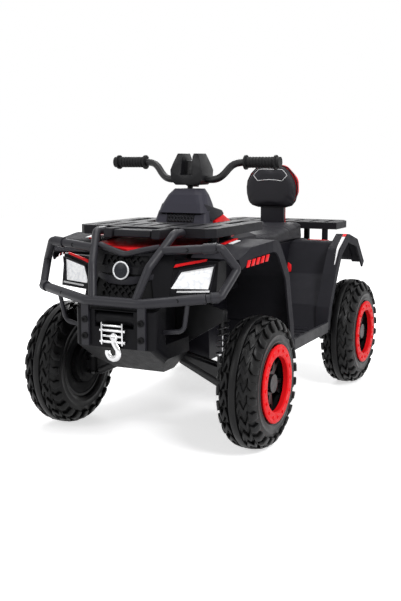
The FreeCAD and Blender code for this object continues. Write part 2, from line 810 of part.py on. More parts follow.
# Front suspension, left side
def make_knuckle():
    centre = V(FRONT_X, KINGPIN_Y, AXLE_Z)
    up = V(0, 0, 1)
    out = V(0, 1, 0)
    half = KNUCKLE_H / 2
    boss = rod(centre - up * half, centre + up * half, KNUCKLE_R)
    pin_half = half + SEAT_CLEAR + FORK_T
    pin = rod(centre - up * pin_half, centre + up * pin_half, TRUNNION_R)
    neck = box(FRONT_X - KNUCKLE_R, FRONT_X + KNUCKLE_R, KINGPIN_Y, KINGPIN_Y + FLANGE_OFF,
               AXLE_Z - half / 2, AXLE_Z + half / 2)
    flange = rod(centre + out * FLANGE_OFF, centre + out * (FLANGE_OFF + FLANGE_T), FLANGE_R)
    case_end = V(FRONT_X, WHEEL_Y + HUB_IN - PART_CLEAR, AXLE_Z)
    case = rod(centre + out * (FLANGE_OFF + FLANGE_T), case_end, CASE_R)
    nut_in = V(FRONT_X, WHEEL_Y + NUT_IN + SEAT_CLEAR, AXLE_Z)
    spindle = rod(case_end, nut_in, SPINDLE_R)
    nut = rod(nut_in, nut_in + out * (NUT_T - SEAT_CLEAR), NUT_R)
    arm = box(TIE_X, FRONT_X, KINGPIN_Y - STEER_ARM_W / 2, KINGPIN_Y + STEER_ARM_W / 2,
              AXLE_Z - STEER_ARM_T / 2, AXLE_Z + STEER_ARM_T / 2)
    tip = V(TIE_X, KINGPIN_Y, AXLE_Z - STEER_ARM_T / 2)
    pad = rod(tip, tip + up * STEER_ARM_T, STEER_ARM_W / 2)
    stud = rod(tip, tip + up * (STEER_ARM_T + EYE_T + SEAT_CLEAR), STUD_R)
    return boss.multiFuse([pin, neck, flange, case, spindle, nut, arm, pad, stud])


def make_tie_rod():
    up = V(0, 0, 1)
    outer = V(TIE_X, KINGPIN_Y, TIE_OUT_Z)
    inner = V(TIE_X, PITMAN_HALF, TIE_IN_Z)
    bore = PITMAN_PIN_R + PITMAN_PLAY
    body = rod(outer, inner, TIE_R)
    body = body.fuse(rod(outer - up * (EYE_T / 2), outer + up * (EYE_T / 2), EYE_R))
    body = body.fuse(rod(inner - up * (PITMAN_EYE_T / 2), inner + up * (PITMAN_EYE_T / 2),
                         bore + PITMAN_EYE_WALL))
    body = body.cut(ring_cut(outer, up, STUD_R + RUN_CLEAR, EYE_T))
    return body.cut(ring_cut(inner, up, bore, EYE_T * 2))


def make_front_arm():
    half = KNUCKLE_H / 2 + SEAT_CLEAR
    top = AXLE_Z + half
    low = AXLE_Z - half
    back = KINGPIN_Y - FORK_BACK
    up = V(0, 0, 1)
    pivot = V(FRONT_X, ARM_PIVOT_Y, ARM_PIVOT_Z)
    along = V(1, 0, 0)
    sleeve = rod(pivot - along * SLEEVE_HALF, pivot + along * (SLEEVE_HALF - SEAT_CLEAR), SLEEVE_R)
    pieces = []
    for sign in (-1, 1):
        start = pivot + along * (sign * ARM_SPREAD)
        end = V(FRONT_X + sign * (FORK_HALF_W - ARM_TUBE_R / 2), back + FORK_T / 2, low + ARM_TUBE_R)
        pieces.append(rod(start, end, ARM_TUBE_R))
    pieces.append(box(FRONT_X - FORK_HALF_W, FRONT_X + FORK_HALF_W, back, back + FORK_T,
                      low - FORK_T, top + FORK_T))
    for z in (low - FORK_T, top):
        pieces.append(box(FRONT_X - FORK_HALF_W, FRONT_X + FORK_HALF_W, back, KINGPIN_Y, z, z + FORK_T))
        eye = V(FRONT_X, KINGPIN_Y, z)
        pieces.append(rod(eye, eye + up * FORK_T, FORK_EYE_R))
    pieces.append(arm_web(back, low - FORK_T, top + FORK_T))
    pin = V(FRONT_X, SHOCK_Y, SHOCK_LOW_Z)
    ear_in = SHOCK_EYE_W / 2 + SEAT_CLEAR
    for sign in (-1, 1):
        near = FRONT_X + sign * ear_in
        far = near + sign * EAR_T
        pieces.append(box(min(near, far), max(near, far), SHOCK_Y - EAR_HALF_W, SHOCK_Y + EAR_HALF_W,
                          top, SHOCK_LOW_Z + SHOCK_EYE_R))
    pin_half = ear_in + EAR_T
    arm = sleeve.multiFuse(pieces)
    arm = arm.cut(ring_cut(pivot, along, PIVOT_PIN_R + RUN_CLEAR, SLEEVE_HALF * 2))
    arm = arm.cut(ring_cut(V(FRONT_X, KINGPIN_Y, AXLE_Z), up, TRUNNION_R + RUN_CLEAR, KNUCKLE_H))
    return arm.fuse(ring_cut(pin, along, SHOCK_PIN_R, pin_half))


def arm_web(out_y, low, top):
    # The moulded web that deepens from the pivot to the fork.
    share = WEB_GAP / (out_y - ARM_PIVOT_Y)
    in_y = ARM_PIVOT_Y + WEB_GAP
    pivot_low = ARM_PIVOT_Z - SLEEVE_R
    pivot_top = ARM_PIVOT_Z + SLEEVE_R
    return prism_yz([
        (in_y, pivot_low + (low - pivot_low) * share),
        (out_y, low),
        (out_y, top),
        (in_y, pivot_top + (top - pivot_top) * share),
    ], FRONT_X - FORK_HALF_W, FRONT_X + FORK_HALF_W)


# A shock stands on its lower eye at the origin, with the eye along X
def make_shock_rod():
    along = V(1, 0, 0)
    up = V(0, 0, 1)
    eye = ring_cut(V(0, 0, 0), along, SHOCK_EYE_R, SHOCK_EYE_W / 2)
    stem = rod(V(0, 0, 0), up * SHOCK_ROD_LEN, SHOCK_ROD_R)
    collar = rod(up * COLLAR_LOW, up * (COLLAR_LOW + COLLAR_T), COLLAR_R)
    bore = ring_cut(V(0, 0, 0), along, SHOCK_PIN_R + RUN_CLEAR, SHOCK_EYE_W)
    return eye.fuse(stem).fuse(collar).cut(bore)


def make_shock_body():
    along = V(1, 0, 0)
    up = V(0, 0, 1)
    top = up * SHOCK_LEN
    eye = ring_cut(top, along, SHOCK_EYE_R, SHOCK_EYE_W / 2)
    cap = top - up * SHOCK_EYE_R
    barrel = rod(top, cap - up * SHOCK_TUBE_LEN, SHOCK_TUBE_R)
    collar = rod(top - up * (COLLAR_HIGH - COLLAR_T), top - up * COLLAR_HIGH, COLLAR_R)
    hollow = rod(cap - up * TUB_WALL, cap - up * (SHOCK_TUBE_LEN + PART_CLEAR), SHOCK_BORE_R)
    bore = ring_cut(top, along, SHOCK_PIN_R + RUN_CLEAR, SHOCK_EYE_W)
    return eye.fuse(barrel).fuse(collar).cut(hollow).cut(bore)


def spring_point(turn, low, high):
    angle = 2 * math.pi * turn
    return V(SPRING_R * math.cos(angle), SPRING_R * math.sin(angle), low + (high - low) * turn / SPRING_TURN_COUNT)


def make_spring():
    low = COLLAR_LOW + COLLAR_T + SPRING_WIRE_R + SEAT_CLEAR
    high = SHOCK_LEN - COLLAR_HIGH - SPRING_WIRE_R - SEAT_CLEAR
    rise = (high - low) / SPRING_TURN_COUNT / (2 * math.pi)
    edges = []
    quarters = SPRING_TURN_COUNT * 4
    for i in range(quarters):
        ends = []
        for turn in (i / 4.0, (i + 1) / 4.0):
            angle = 2 * math.pi * turn
            tangent = V(-SPRING_R * math.sin(angle), SPRING_R * math.cos(angle), rise).normalize()
            ends.append((spring_point(turn, low, high), tangent))
        (p0, t0), (p1, t1) = ends
        gap = p1 - p0
        both = t0 + t1
        spread = 2 * (1 - t0.dot(t1))
        reach = (math.sqrt(gap.dot(both) ** 2 + spread * gap.dot(gap)) - gap.dot(both)) / spread
        q0 = p0 + t0 * reach
        q1 = p1 - t1 * reach
        middle = (q0 + q1) * 0.5
        edges.append(corner_arc(p0, q0, middle, reach))
        edges.append(corner_arc(middle, q1, p1, reach))
    start, tangent = spring_point(0, low, high), V(0, SPRING_R, rise)
    ring = Part.Wire(Part.makeCircle(SPRING_WIRE_R, start, tangent))
    coil = Part.Wire(edges).makePipeShell([ring], True, False)
    print("spring: least gap to itself", round(spring_gap(low, high), 2), "mm")
    return coil


def spring_gap(low, high):
    steps = 24
    points = [spring_point(i / steps, low, high) for i in range(SPRING_TURN_COUNT * steps + 1)]
    least = SPRING_R
    for i, p in enumerate(points):
        for q in points[i + steps // 2:]:
            least = min(least, (p - q).Length)
    return least - 2 * SPRING_WIRE_R


def place_front_shock(shape):
    return shape.translated(V(FRONT_X, SHOCK_Y, SHOCK_LOW_Z))


def place_rear_shock(shape):
    turned_shape = shape.rotated(V(0, 0, 0), V(0, 0, 1), 90)
    return turned_shape.translated(V(REAR_SHOCK_X, REAR_SHOCK_Y, SWING_PIVOT_Z))


# Steel frame
def make_frame():
    along = V(1, 0, 0)
    across = V(0, 1, 0)
    spine_top = SPINE_Z + SPINE_H
    pieces = []
    spine_rear_x = SWING_PIVOT_X + SWING_TUBE_R * 3
    spine = box(spine_rear_x, HOUSING_BACK_X, -SPINE_HALF_W, SPINE_HALF_W, SPINE_Z, spine_top)
    ear_x = FRONT_X - SLEEVE_HALF - SEAT_CLEAR
    pin_top = ARM_PIVOT_Z + SLEEVE_R
    pieces.append(box(ear_x - EAR_T, ear_x, -TOWER_FOOT_HALF_W, TOWER_FOOT_HALF_W, SPINE_Z, spine_top))
    for sign in (-1, 1):
        inner = sign * (ARM_PIVOT_Y - SLEEVE_R)
        outer = sign * TOWER_FOOT_HALF_W
        pieces.append(box(ear_x - EAR_T, ear_x, min(inner, outer), max(inner, outer), SPINE_Z, pin_top))
        pivot = V(ear_x - EAR_T, sign * ARM_PIVOT_Y, ARM_PIVOT_Z)
        pieces.append(rod(pivot, V(TOWER_X + TOWER_T, sign * ARM_PIVOT_Y, ARM_PIVOT_Z), PIVOT_PIN_R))
        shock_top = V(TOWER_X, sign * SHOCK_Y, SHOCK_LOW_Z + SHOCK_LEN)
        pieces.append(rod(shock_top, shock_top - along * (TOWER_GAP + SHOCK_EYE_W / 2), SHOCK_PIN_R))
    half_tower = [
        (TOWER_FOOT_HALF_W, SPINE_Z),
        (TOWER_FOOT_HALF_W, pin_top + SLEEVE_R),
        (TOWER_TOP_HALF_W, SHOCK_LOW_Z + SHOCK_LEN - SHOCK_EYE_R * 2),
        (TOWER_TOP_HALF_W, SHOCK_LOW_Z + SHOCK_LEN + SHOCK_EYE_R),
        (SHOCK_Y - SHOCK_EYE_R * 4, TOWER_TOP_Z),
    ]
    outline = half_tower + [(-y, z) for y, z in reversed(half_tower)]
    pieces.append(prism_yz(outline, TOWER_X, TOWER_X + TOWER_T))
    lug_x = COLUMN_FOOT.x + COLUMN_AXIS.x / COLUMN_AXIS.z * (TOWER_LUG_Z - COLUMN_FOOT.z)
    lug = box(lug_x - COLUMN_R * 3, TOWER_X, -TOWER_LUG_HALF_W, TOWER_LUG_HALF_W,
              TOWER_LUG_Z, TOWER_LUG_Z + TOWER_LUG_H)
    pieces.append(lug.cut(rod(COLUMN_FOOT, COLUMN_HEAD, COLUMN_R + RUN_CLEAR)))
    shock_z = SWING_PIVOT_Z + SHOCK_LEN
    top = shock_z + CROSS_TUBE_R * 2
    side = prism_xz([
        (SWING_PIVOT_X + SWING_TUBE_R * 5, SPINE_Z),
        (SWING_PIVOT_X - SWING_TUBE_R * 2, SPINE_Z),
        (REAR_SHOCK_X - CROSS_TUBE_R * 2, shock_z - CROSS_TUBE_R * 2),
        (REAR_SHOCK_X - CROSS_TUBE_R * 2, top),
        (REAR_SHOCK_X + CROSS_TUBE_R * 2, top),
        (SWING_PIVOT_X + SWING_TUBE_R * 5, spine_top + SWING_TUBE_R * 2),
    ], SPINE_HALF_W, SPINE_HALF_W + REAR_PLATE_T)
    pieces.append(side)
    pieces.append(mirrored(side))
    pin_half = SPINE_HALF_W + REAR_PLATE_T
    pieces.append(ring_cut(V(SWING_PIVOT_X, 0, SWING_PIVOT_Z), across, PIVOT_PIN_R, pin_half))
    tube_half = REAR_SHOCK_Y - SHOCK_TUBE_R - SEAT_CLEAR
    pieces.append(ring_cut(V(REAR_SHOCK_X, 0, shock_z), across, CROSS_TUBE_R, tube_half))
    pieces.append(ring_cut(V(REAR_SHOCK_X, 0, shock_z), across, SHOCK_PIN_R, REAR_SHOCK_Y + SHOCK_EYE_W / 2))
    return spine.multiFuse(pieces)


def make_swing_arm():
    across = V(0, 1, 0)
    pivot = V(SWING_PIVOT_X, 0, SWING_PIVOT_Z)
    axle = V(REAR_X, 0, AXLE_Z)
    tube_half = SPINE_HALF_W - SEAT_CLEAR
    body = ring_cut(pivot, across, SWING_TUBE_R, tube_half)
    pieces = [rod(pivot, axle, SWING_BEAM_R), ring_cut(axle, across, AXLE_TUBE_R, AXLE_TUBE_HALF)]
    ear_in = SHOCK_EYE_W / 2 + SEAT_CLEAR
    for side in (-1, 1):
        for sign in (-1, 1):
            near = side * REAR_SHOCK_Y + sign * ear_in
            far = near + sign * EAR_T
            pieces.append(box(REAR_SHOCK_X - EAR_HALF_W, REAR_SHOCK_X + EAR_HALF_W, min(near, far),
                              max(near, far), AXLE_Z, SWING_PIVOT_Z + SHOCK_EYE_R))
        pin = V(REAR_SHOCK_X, side * REAR_SHOCK_Y, SWING_PIVOT_Z)
        pieces.append(ring_cut(pin, across, SHOCK_PIN_R, ear_in + EAR_T))
    arm = body.multiFuse(pieces)
    arm = arm.cut(ring_cut(pivot, across, PIVOT_PIN_R + RUN_CLEAR, tube_half * 2))
    return arm.cut(ring_cut(axle, across, SPINDLE_R + RUN_CLEAR, AXLE_TUBE_HALF * 2))


def make_rear_axle():
    across = V(0, 1, 0)
    axle = V(REAR_X, 0, AXLE_Z)
    nut_in = WHEEL_Y + NUT_IN + SEAT_CLEAR
    shaft = ring_cut(axle, across, SPINDLE_R, nut_in)
    nuts = []
    for sign in (-1, 1):
        start = axle + across * (sign * nut_in)
        nuts.append(rod(start, start + across * (sign * (NUT_T - SEAT_CLEAR)), NUT_R))
    return shaft.multiFuse(nuts)


def make_rear_motor():
    across = V(0, 1, 0)
    axle = V(REAR_X, 0, AXLE_Z)
    start = axle + across * (AXLE_TUBE_HALF + SEAT_CLEAR)
    neck_end = axle + across * (WHEEL_Y - BEAD_W / 2)
    case_end = axle + across * (WHEEL_Y + HUB_IN - PART_CLEAR)
    neck = rod(start, neck_end, FLANGE_R)
    case = rod(neck_end, case_end, CASE_R)
    can_foot = neck_end + V(MOTOR_CAN_OFF, 0, 0)
    can = rod(can_foot, can_foot - across * MOTOR_CAN_LEN, MOTOR_CAN_R)
    motor = neck.fuse(case).fuse(can)
    room = ring_cut(axle, across, AXLE_TUBE_R + PART_CLEAR, AXLE_TUBE_HALF + SEAT_CLEAR)
    return motor.cut(room).cut(ring_cut(axle, across, SPINDLE_R + RUN_CLEAR, WHEEL_Y))


# Centre body
def make_tub():
    outline = [
        (TUB_REAR_X, TUB_BOTTOM_Z),
        (TUB_FRONT_X, TUB_BOTTOM_Z),
        (TUB_FRONT_X, TUB_BREAK_Z),
        (TUB_TOP_FRONT_X, BODY_TOP_Z),
        (TUB_REAR_X, BODY_TOP_Z),
    ]
    wall = TUB_WALL
    hollow = [
        (TUB_REAR_X - wall, TUB_BOTTOM_Z + wall),
        (TUB_FRONT_X - wall, TUB_BOTTOM_Z + wall),
        (TUB_FRONT_X - wall, TUB_BREAK_Z - wall),
        (TUB_TOP_FRONT_X - wall * 2, BODY_TOP_Z + wall),
        (TUB_REAR_X - wall, BODY_TOP_Z + wall),
    ]
    shell = prism_xz(outline, -TUB_HALF_W, TUB_HALF_W)
    shell = shell.cut(prism_xz(hollow, wall - TUB_HALF_W, TUB_HALF_W - wall))
    slot = box(TUB_FRONT_X - wall * 2, TUB_FRONT_X + wall, -SPINE_HALF_W - SEAT_CLEAR,
               SPINE_HALF_W + SEAT_CLEAR, SPINE_Z, SPINE_Z + SPINE_H + SEAT_CLEAR)
    return shell.cut(slot)


def make_tail():
    outline = [
        (TUB_REAR_X, TAIL_LOW_Z),
        (TUB_REAR_X, BODY_TOP_Z),
        (TAIL_TOP_BREAK_X, BODY_TOP_Z),
        (TAIL_REAR_X, TAIL_REAR_Z),
        (TAIL_FOOT_X, TAIL_LOW_Z),
    ]
    wall = TUB_WALL
    hollow = [
        (TUB_REAR_X + wall, TAIL_LOW_Z - wall),
        (TUB_REAR_X + wall, BODY_TOP_Z - wall),
        (TAIL_TOP_BREAK_X, BODY_TOP_Z - wall),
        (TAIL_REAR_X + wall, TAIL_REAR_Z - wall),
        (TAIL_FOOT_X + wall, TAIL_LOW_Z - wall),
    ]
    shell = prism_xz(outline, -TUB_HALF_W, TUB_HALF_W)
    shell = shell.cut(prism_xz(hollow, wall - TUB_HALF_W, TUB_HALF_W - wall))
    pin = V(REAR_SHOCK_X, 0, SWING_PIVOT_Z + SHOCK_LEN)
    return shell.cut(ring_cut(pin, V(0, 1, 0), CROSS_TUBE_R + SEAT_CLEAR, TUB_HALF_W * 2))


def make_battery():
    z = SPINE_Z + SPINE_H
    case = box(BATTERY_REAR_X, BATTERY_REAR_X + BATTERY_L, -BATTERY_W / 2, BATTERY_W / 2, z, z + BATTERY_H)
    return case.makeFillet(TUB_WALL, [e for e in case.Edges if e.Vertexes[0].Point.z != e.Vertexes[1].Point.z])


def make_control_box():
    z = SPINE_Z + SPINE_H
    case = box(CONTROL_REAR_X, CONTROL_REAR_X + CONTROL_L, -CONTROL_W / 2, CONTROL_W / 2, z, z + CONTROL_H)
    return case.makeFillet(TUB_WALL, [e for e in case.Edges if e.Vertexes[0].Point.z != e.Vertexes[1].Point.z])


# Front fenders, hood, fascia
def fender_line():
    return [
        (FENDER_TIP_X, FENDER_TIP_Z),
        (FENDER_BROW_X, FENDER_BROW_Z),
        (FENDER_HEEL_X, FENDER_HEEL_Z),
        (FENDER_KNEE_X, FENDER_KNEE_Z),
        (FENDER_SHIN_X, FENDER_SHIN_Z),
        (FENDER_FOOT_X, FLOOR_Z),
    ]


def flare_plan(inset):
    # The fender narrows towards its front tip, seen from above.
    plan = [
        (FENDER_FOOT_X - FENDER_LIP, 0),
        (FENDER_TIP_X + FENDER_LIP, 0),
        (FENDER_TIP_X + FENDER_LIP, FLARE_TIP_Y - inset),
        (FENDER_TIP_X, FLARE_TIP_Y - inset),
        (FLARE_TAPER_X, FLARE_Y - inset),
        (FENDER_FOOT_X - FENDER_LIP, FLARE_Y - inset),
    ]
    return prism_xy(plan, 0, RACK_Z)


def make_front_fender():
    line = fender_line()
    sheet = bent_sheet(line, FENDER_HEEL_BEND, FENDER_T, TUB_HALF_W, FLARE_Y)
    lip = bent_sheet(line, FENDER_HEEL_BEND, FENDER_LIP, FLARE_TIP_Y - FENDER_LIP_T, FLARE_Y)
    core = shifted_line([V(x, 0, z) for x, z in line[:5]], FENDER_T / 2)
    liner = under_line([(p.x, p.z) for p in core], FENDER_HEEL_BEND, [(FENDER_TIP_X, FENDER_SHIN_Z)],
                       DECK_IN_Y, DECK_IN_Y + FENDER_T)
    liner = liner.common(box(FENDER_SHIN_X, WING_BACK_X - SEAT_CLEAR, DECK_IN_Y, FLARE_Y, LINER_LOW_Z, RACK_Z))
    fender = sheet.fuse(liner).common(flare_plan(0))
    fender = fender.fuse(lip.common(flare_plan(0)).cut(flare_plan(FENDER_LIP_T)))
    under_hood = box(HOOD_REAR_X - FENDER_BEND, FENDER_TIP_X, 0, DECK_IN_Y, BODY_TOP_Z, RACK_Z)
    return fender.cut(under_hood)


def hood_line():
    return [(HOOD_NOSE_X, HOOD_NOSE_Z), (FENDER_BROW_X, FENDER_BROW_Z), (HOOD_REAR_X, FENDER_HEEL_Z)]


def make_hood():
    sheet = bent_sheet(hood_line(), FENDER_BEND, HOOD_T, -DECK_IN_Y, DECK_IN_Y)
    half = [
        (HOOD_NOSE_X, 0),
        (HOOD_NOSE_X - HOOD_T * 4, FASCIA_FLAT_HALF_W),
        (HOOD_WING_X, DECK_IN_Y),
        (HOOD_REAR_X, DECK_IN_Y),
    ]
    plan = half + [(x, -y) for x, y in reversed(half[1:])]
    sheet = sheet.common(prism_xy(plan, FASCIA_LOW_Z, RACK_Z))
    hole = box(HOOD_REAR_X - HOOD_T, HOOD_HOLE_FRONT_X, -HOOD_HOLE_HALF_W, HOOD_HOLE_HALF_W,
               FASCIA_LOW_Z, RACK_Z)
    return sheet.cut(hole)


def fascia_core(inset=0.0):
    def outline(z, shift):
        half = [
            (FASCIA_LOW_X - shift, FASCIA_FLAT_HALF_W - inset),
            (FASCIA_SIDE_X - shift, FASCIA_HALF_W - inset),
            (FASCIA_BACK_X, FASCIA_HALF_W - inset),
        ]
        points = half + [(x, -y) for x, y in reversed(half)]
        return [V(x, y, z) for x, y in points]
    return loft(outline(FASCIA_LOW_Z, 0), outline(FENDER_BROW_Z, FASCIA_LEAN))


def fascia_wing(inset=0.0):
    lean = FASCIA_LEAN * (WING_TOP_Z - WING_LOW_Z) / (FENDER_BROW_Z - FASCIA_LOW_Z)
    def outline(z, shift):
        points = [
            (FASCIA_SIDE_X - shift, FASCIA_HALF_W - FENDER_T * 2 + inset),
            (WING_OUT_X - shift / 2, WING_OUT_Y - inset),
            (WING_BACK_X, WING_OUT_Y - inset),
            (WING_BACK_X, FASCIA_HALF_W - FENDER_T * 2 + inset),
        ]
        return [V(x, y, z) for x, y in points]
    foot = lean * (WING_LOW_Z - FASCIA_LOW_Z) / (WING_TOP_Z - WING_LOW_Z)
    return loft(outline(WING_LOW_Z + inset, foot), outline(WING_TOP_Z - inset, foot + lean))


def lens_outline(inset):
    return [
        (LENS_IN_Y + inset, LENS_LOW_Z + inset),
        (LENS_OUT_Y - inset, LENS_LOW_Z + inset),
        (LENS_OUT_TOP_Y - inset, LENS_TOP_OUT_Z - inset),
        (LENS_IN_TOP_Y + inset, LENS_TOP_IN_Z - inset),
    ]


def face_layer(body, outline, front, back):
    # The layer of a body between two depths behind its front face, within an outline seen from the front.
    column = prism_yz(outline, FASCIA_BACK_X - FASCIA_LEAN, FASCIA_LOW_X + FASCIA_LEAN)
    layer = body.translated(V(-front, 0, 0)).common(column)
    return layer.cut(body.translated(V(-back, 0, 0)))


def above_front_body():
    over = RACK_Z
    hood = shifted_line([V(x, 0, z) for x, z in hood_line()], HOOD_T + SEAT_CLEAR)
    hood_points = [(p.x, p.z) for p in hood]
    nose = (FASCIA_LOW_X, hood_points[0][1])
    roof = prism_xz([nose] + hood_points + [(HOOD_REAR_X, over), (FASCIA_LOW_X, over)], -DECK_IN_Y, DECK_IN_Y)
    deck = shifted_line([V(x, 0, z) for x, z in fender_line()[:3]], FENDER_T + SEAT_CLEAR)
    deck_points = [(p.x, p.z) for p in deck]
    side = prism_xz(deck_points + [(FENDER_HEEL_X, over), (FASCIA_LOW_X, over)], DECK_IN_Y, FLARE_Y)
    return roof.multiFuse([side, mirrored(side)])


def grille_outline(low, high, inset):
    def half_width(z):
        share = (z - GRILLE_LOW_Z) / (GRILLE_TOP_Z - GRILLE_LOW_Z)
        return GRILLE_LOW_HALF_W + (GRILLE_TOP_HALF_W - GRILLE_LOW_HALF_W) * share - inset
    return [
        (-half_width(low), low + inset),
        (half_width(low), low + inset),
        (half_width(high), high - inset),
        (-half_width(high), high - inset),
    ]


def make_front_end():
    core = fascia_core()
    wing = fascia_wing()
    wall = FENDER_T
    core_room = fascia_core(wall).translated(V(-GRILLE_DEPTH - wall, 0, wall))
    wing_room = fascia_wing(wall).translated(V(-LENS_T - wall, 0, 0))
    fascia = core.fuse(wing).fuse(mirrored(wing))
    fascia = fascia.cut(core_room).cut(wing_room).cut(mirrored(wing_room))
    mesh = []
    for low, high in ((GRILLE_LOW_Z, GRILLE_BAR_LOW_Z), (GRILLE_BAR_HIGH_Z, GRILLE_TOP_Z)):
        fascia = fascia.cut(face_layer(core, grille_outline(low, high, 0), 0, GRILLE_DEPTH))
        panel = face_layer(core, grille_outline(low, high, SEAT_CLEAR), GRILLE_IN, GRILLE_IN + GRILLE_T)
        mesh.append(panel.cut(diamond_holes(low, high)))
    lens = face_layer(wing, lens_outline(SEAT_CLEAR), 0, LENS_T - SEAT_CLEAR)
    pocket = face_layer(wing, lens_outline(0), 0, LENS_T)
    fascia = fascia.cut(pocket).cut(mirrored(pocket))
    bar_z = (GRILLE_BAR_LOW_Z + GRILLE_BAR_HIGH_Z) / 2
    bar_x = FASCIA_LOW_X - FASCIA_LEAN * (bar_z - FASCIA_LOW_Z) / (FENDER_BROW_Z - FASCIA_LOW_Z)
    badge = rod(V(bar_x - GRILLE_DEPTH, 0, bar_z), V(bar_x + BADGE_H, 0, bar_z), BADGE_R)
    mesh = Part.makeCompound(mesh).cut(ring_cut(V(bar_x, 0, bar_z), V(1, 0, 0), BADGE_R + SEAT_CLEAR, FASCIA_LEAN))
    roof = above_front_body()
    fascia = fascia.fuse(badge).cut(roof)
    return fascia, mesh, lens.cut(roof)


def diamond_holes(low, high):
    holes = []
    step = GRILLE_PITCH / 2
    reach = (GRILLE_PITCH - GRILLE_STRAND) / 2
    columns = int(GRILLE_LOW_HALF_W / step)
    rows = int((high - low) / step)
    for row in range(1, rows + 1):
        for column in range(-columns, columns + 1):
            if (row + column) % 2:
                continue
            y = column * step
            z = low + row * step
            if z + reach > high or abs(y) + reach > GRILLE_TOP_HALF_W:
                continue
            diamond = [(y - reach, z), (y, z - reach), (y + reach, z), (y, z + reach)]
            holes.append(prism_yz(diamond, FASCIA_BACK_X, FASCIA_LOW_X + FASCIA_LEAN))
    return Part.makeCompound(holes)


def make_housing():
    outline = [
        (HOUSING_BACK_X, HOUSING_LOW_Z),
        (HOUSING_KEEL_X, HOUSING_LOW_Z),
        (HOUSING_FRONT_X, HOUSING_CHIN_Z),
        (HOUSING_FRONT_X, HOUSING_BROW_Z),
        (HOUSING_SHELF_X, FASCIA_LOW_Z),
        (HOUSING_BACK_X, FASCIA_LOW_Z),
    ]
    body = prism_xz(outline, -HOUSING_HALF_W, HOUSING_HALF_W)
    bay = box(HOUSING_FRONT_X - DRUM_BAY, HOUSING_FRONT_X + PART_CLEAR, -DRUM_HALF_W, DRUM_HALF_W,
              DRUM_Z - DRUM_BAY / 2, DRUM_Z + DRUM_BAY / 2)
    drum_x = HOUSING_FRONT_X - DRUM_BAY / 2
    drum = rod(V(drum_x, -DRUM_HALF_W, DRUM_Z), V(drum_x, DRUM_HALF_W, DRUM_Z), DRUM_R)
    body = body.cut(bay)
    corners = [e for e in body.Edges if abs(abs(e.CenterOfMass.y) - HOUSING_HALF_W) < PART_CLEAR
               and e.CenterOfMass.x > HOUSING_KEEL_X and e.CenterOfMass.z < HOUSING_BROW_Z]
    wall = FENDER_T
    inside = prism_xz([
        (HOUSING_BACK_X + wall, HOUSING_LOW_Z + wall),
        (HOUSING_KEEL_X - wall, HOUSING_LOW_Z + wall),
        (HOUSING_FRONT_X - DRUM_BAY - wall, HOUSING_CHIN_Z),
        (HOUSING_FRONT_X - DRUM_BAY - wall, FASCIA_LOW_Z - wall),
        (HOUSING_BACK_X + wall, FASCIA_LOW_Z - wall),
    ], wall - HOUSING_HALF_W, HOUSING_HALF_W - wall)
    hatch = box(HOUSING_BACK_X, HOUSING_BACK_X + wall, -DRUM_HALF_W, DRUM_HALF_W, ARM_PIVOT_Z, DRUM_Z)
    body = body.makeFillet(SEAT_ROUND, corners).fuse(drum)
    taken = skid_corner(0).fuse(side_pocket(0))
    kept_off = skid_corner(wall * 2).fuse(side_pocket(wall))
    body = body.cut(taken).cut(mirrored(taken))
    inside = inside.cut(kept_off).cut(mirrored(kept_off))
    return body.cut(inside).cut(hatch)


def side_pocket(grow):
    # The upper part is narrower behind the front face.
    return box(HOUSING_BACK_X, POCKET_X + grow, POCKET_HALF_W - grow, HOUSING_HALF_W, POCKET_Z - grow, FASCIA_LOW_Z)


def skid_corner(grow):
    # The lower side corner that is taken off in a slant.
    return prism_yz([
        (HOUSING_HALF_W, HOUSING_LOW_Z),
        (HOUSING_HALF_W - SKID_W - grow, HOUSING_LOW_Z),
        (HOUSING_HALF_W, HOUSING_LOW_Z + SKID_H + grow),
    ], HOUSING_BACK_X, HOUSING_FRONT_X)


# Bumper and winch
def make_lower_bar():
    half = [
        V(BAR_X, BAR_FLAT_Y, BAR_Z),
        V(BAR_END_X, BAR_END_Y, BAR_END_Z),
    ]
    line = [V(p.x, -p.y, p.z) for p in reversed(half)] + half
    bar = tube(line, BAR_R, BAR_BEND)
    plates = []
    for sign in (-1, 1):
        y = sign * PLATE_Y
        plates.append(box(HOUSING_FRONT_X, HOUSING_FRONT_X + PLATE_T, y - PLATE_HALF_W, y + PLATE_HALF_W,
                          PLATE_LOW_Z, BAR_Z))
    stay = make_stay(half)
    return bar.multiFuse(plates + [stay, mirrored(stay)])


def make_stay(bar_half):
    line = [
        bar_half[0] + (bar_half[1] - bar_half[0]) * STAY_TOP_SHARE,
        V(STAY_KNEE_X, STAY_KNEE_Y, STAY_KNEE_Z),
        V(STAY_KNEE_X, HOUSING_HALF_W + SEAT_CLEAR, STAY_END_Z),
    ]
    return tube(line, STAY_R, STAY_BEND).cut(box(HOUSING_BACK_X, HOUSING_FRONT_X, 0, HOUSING_HALF_W + SEAT_CLEAR,
                                                 HOUSING_LOW_Z, FASCIA_LOW_Z))


def guard_line():
    return [
        V(BAR_X, GUARD_FOOT_Y, BAR_Z),
        V(GUARD_KINK_X, GUARD_KINK_Y, GUARD_KINK_Z),
        V(GUARD_TOP_X, GUARD_TOP_Y, GUARD_TOP_Z),
        V(RACK_FRONT_X + SEAT_CLEAR, GUARD_TOP_Y, GUARD_TOP_Z),
    ]


def make_upright(lower_bar):
    upright = tube(guard_line(), GUARD_R, BAR_BEND / 2)
    return upright.cut(tube(lower_bar, BAR_R + SEAT_CLEAR, BAR_BEND))


def lower_bar_line():
    return [V(BAR_X, -BAR_FLAT_Y, BAR_Z), V(BAR_X, BAR_FLAT_Y, BAR_Z)]


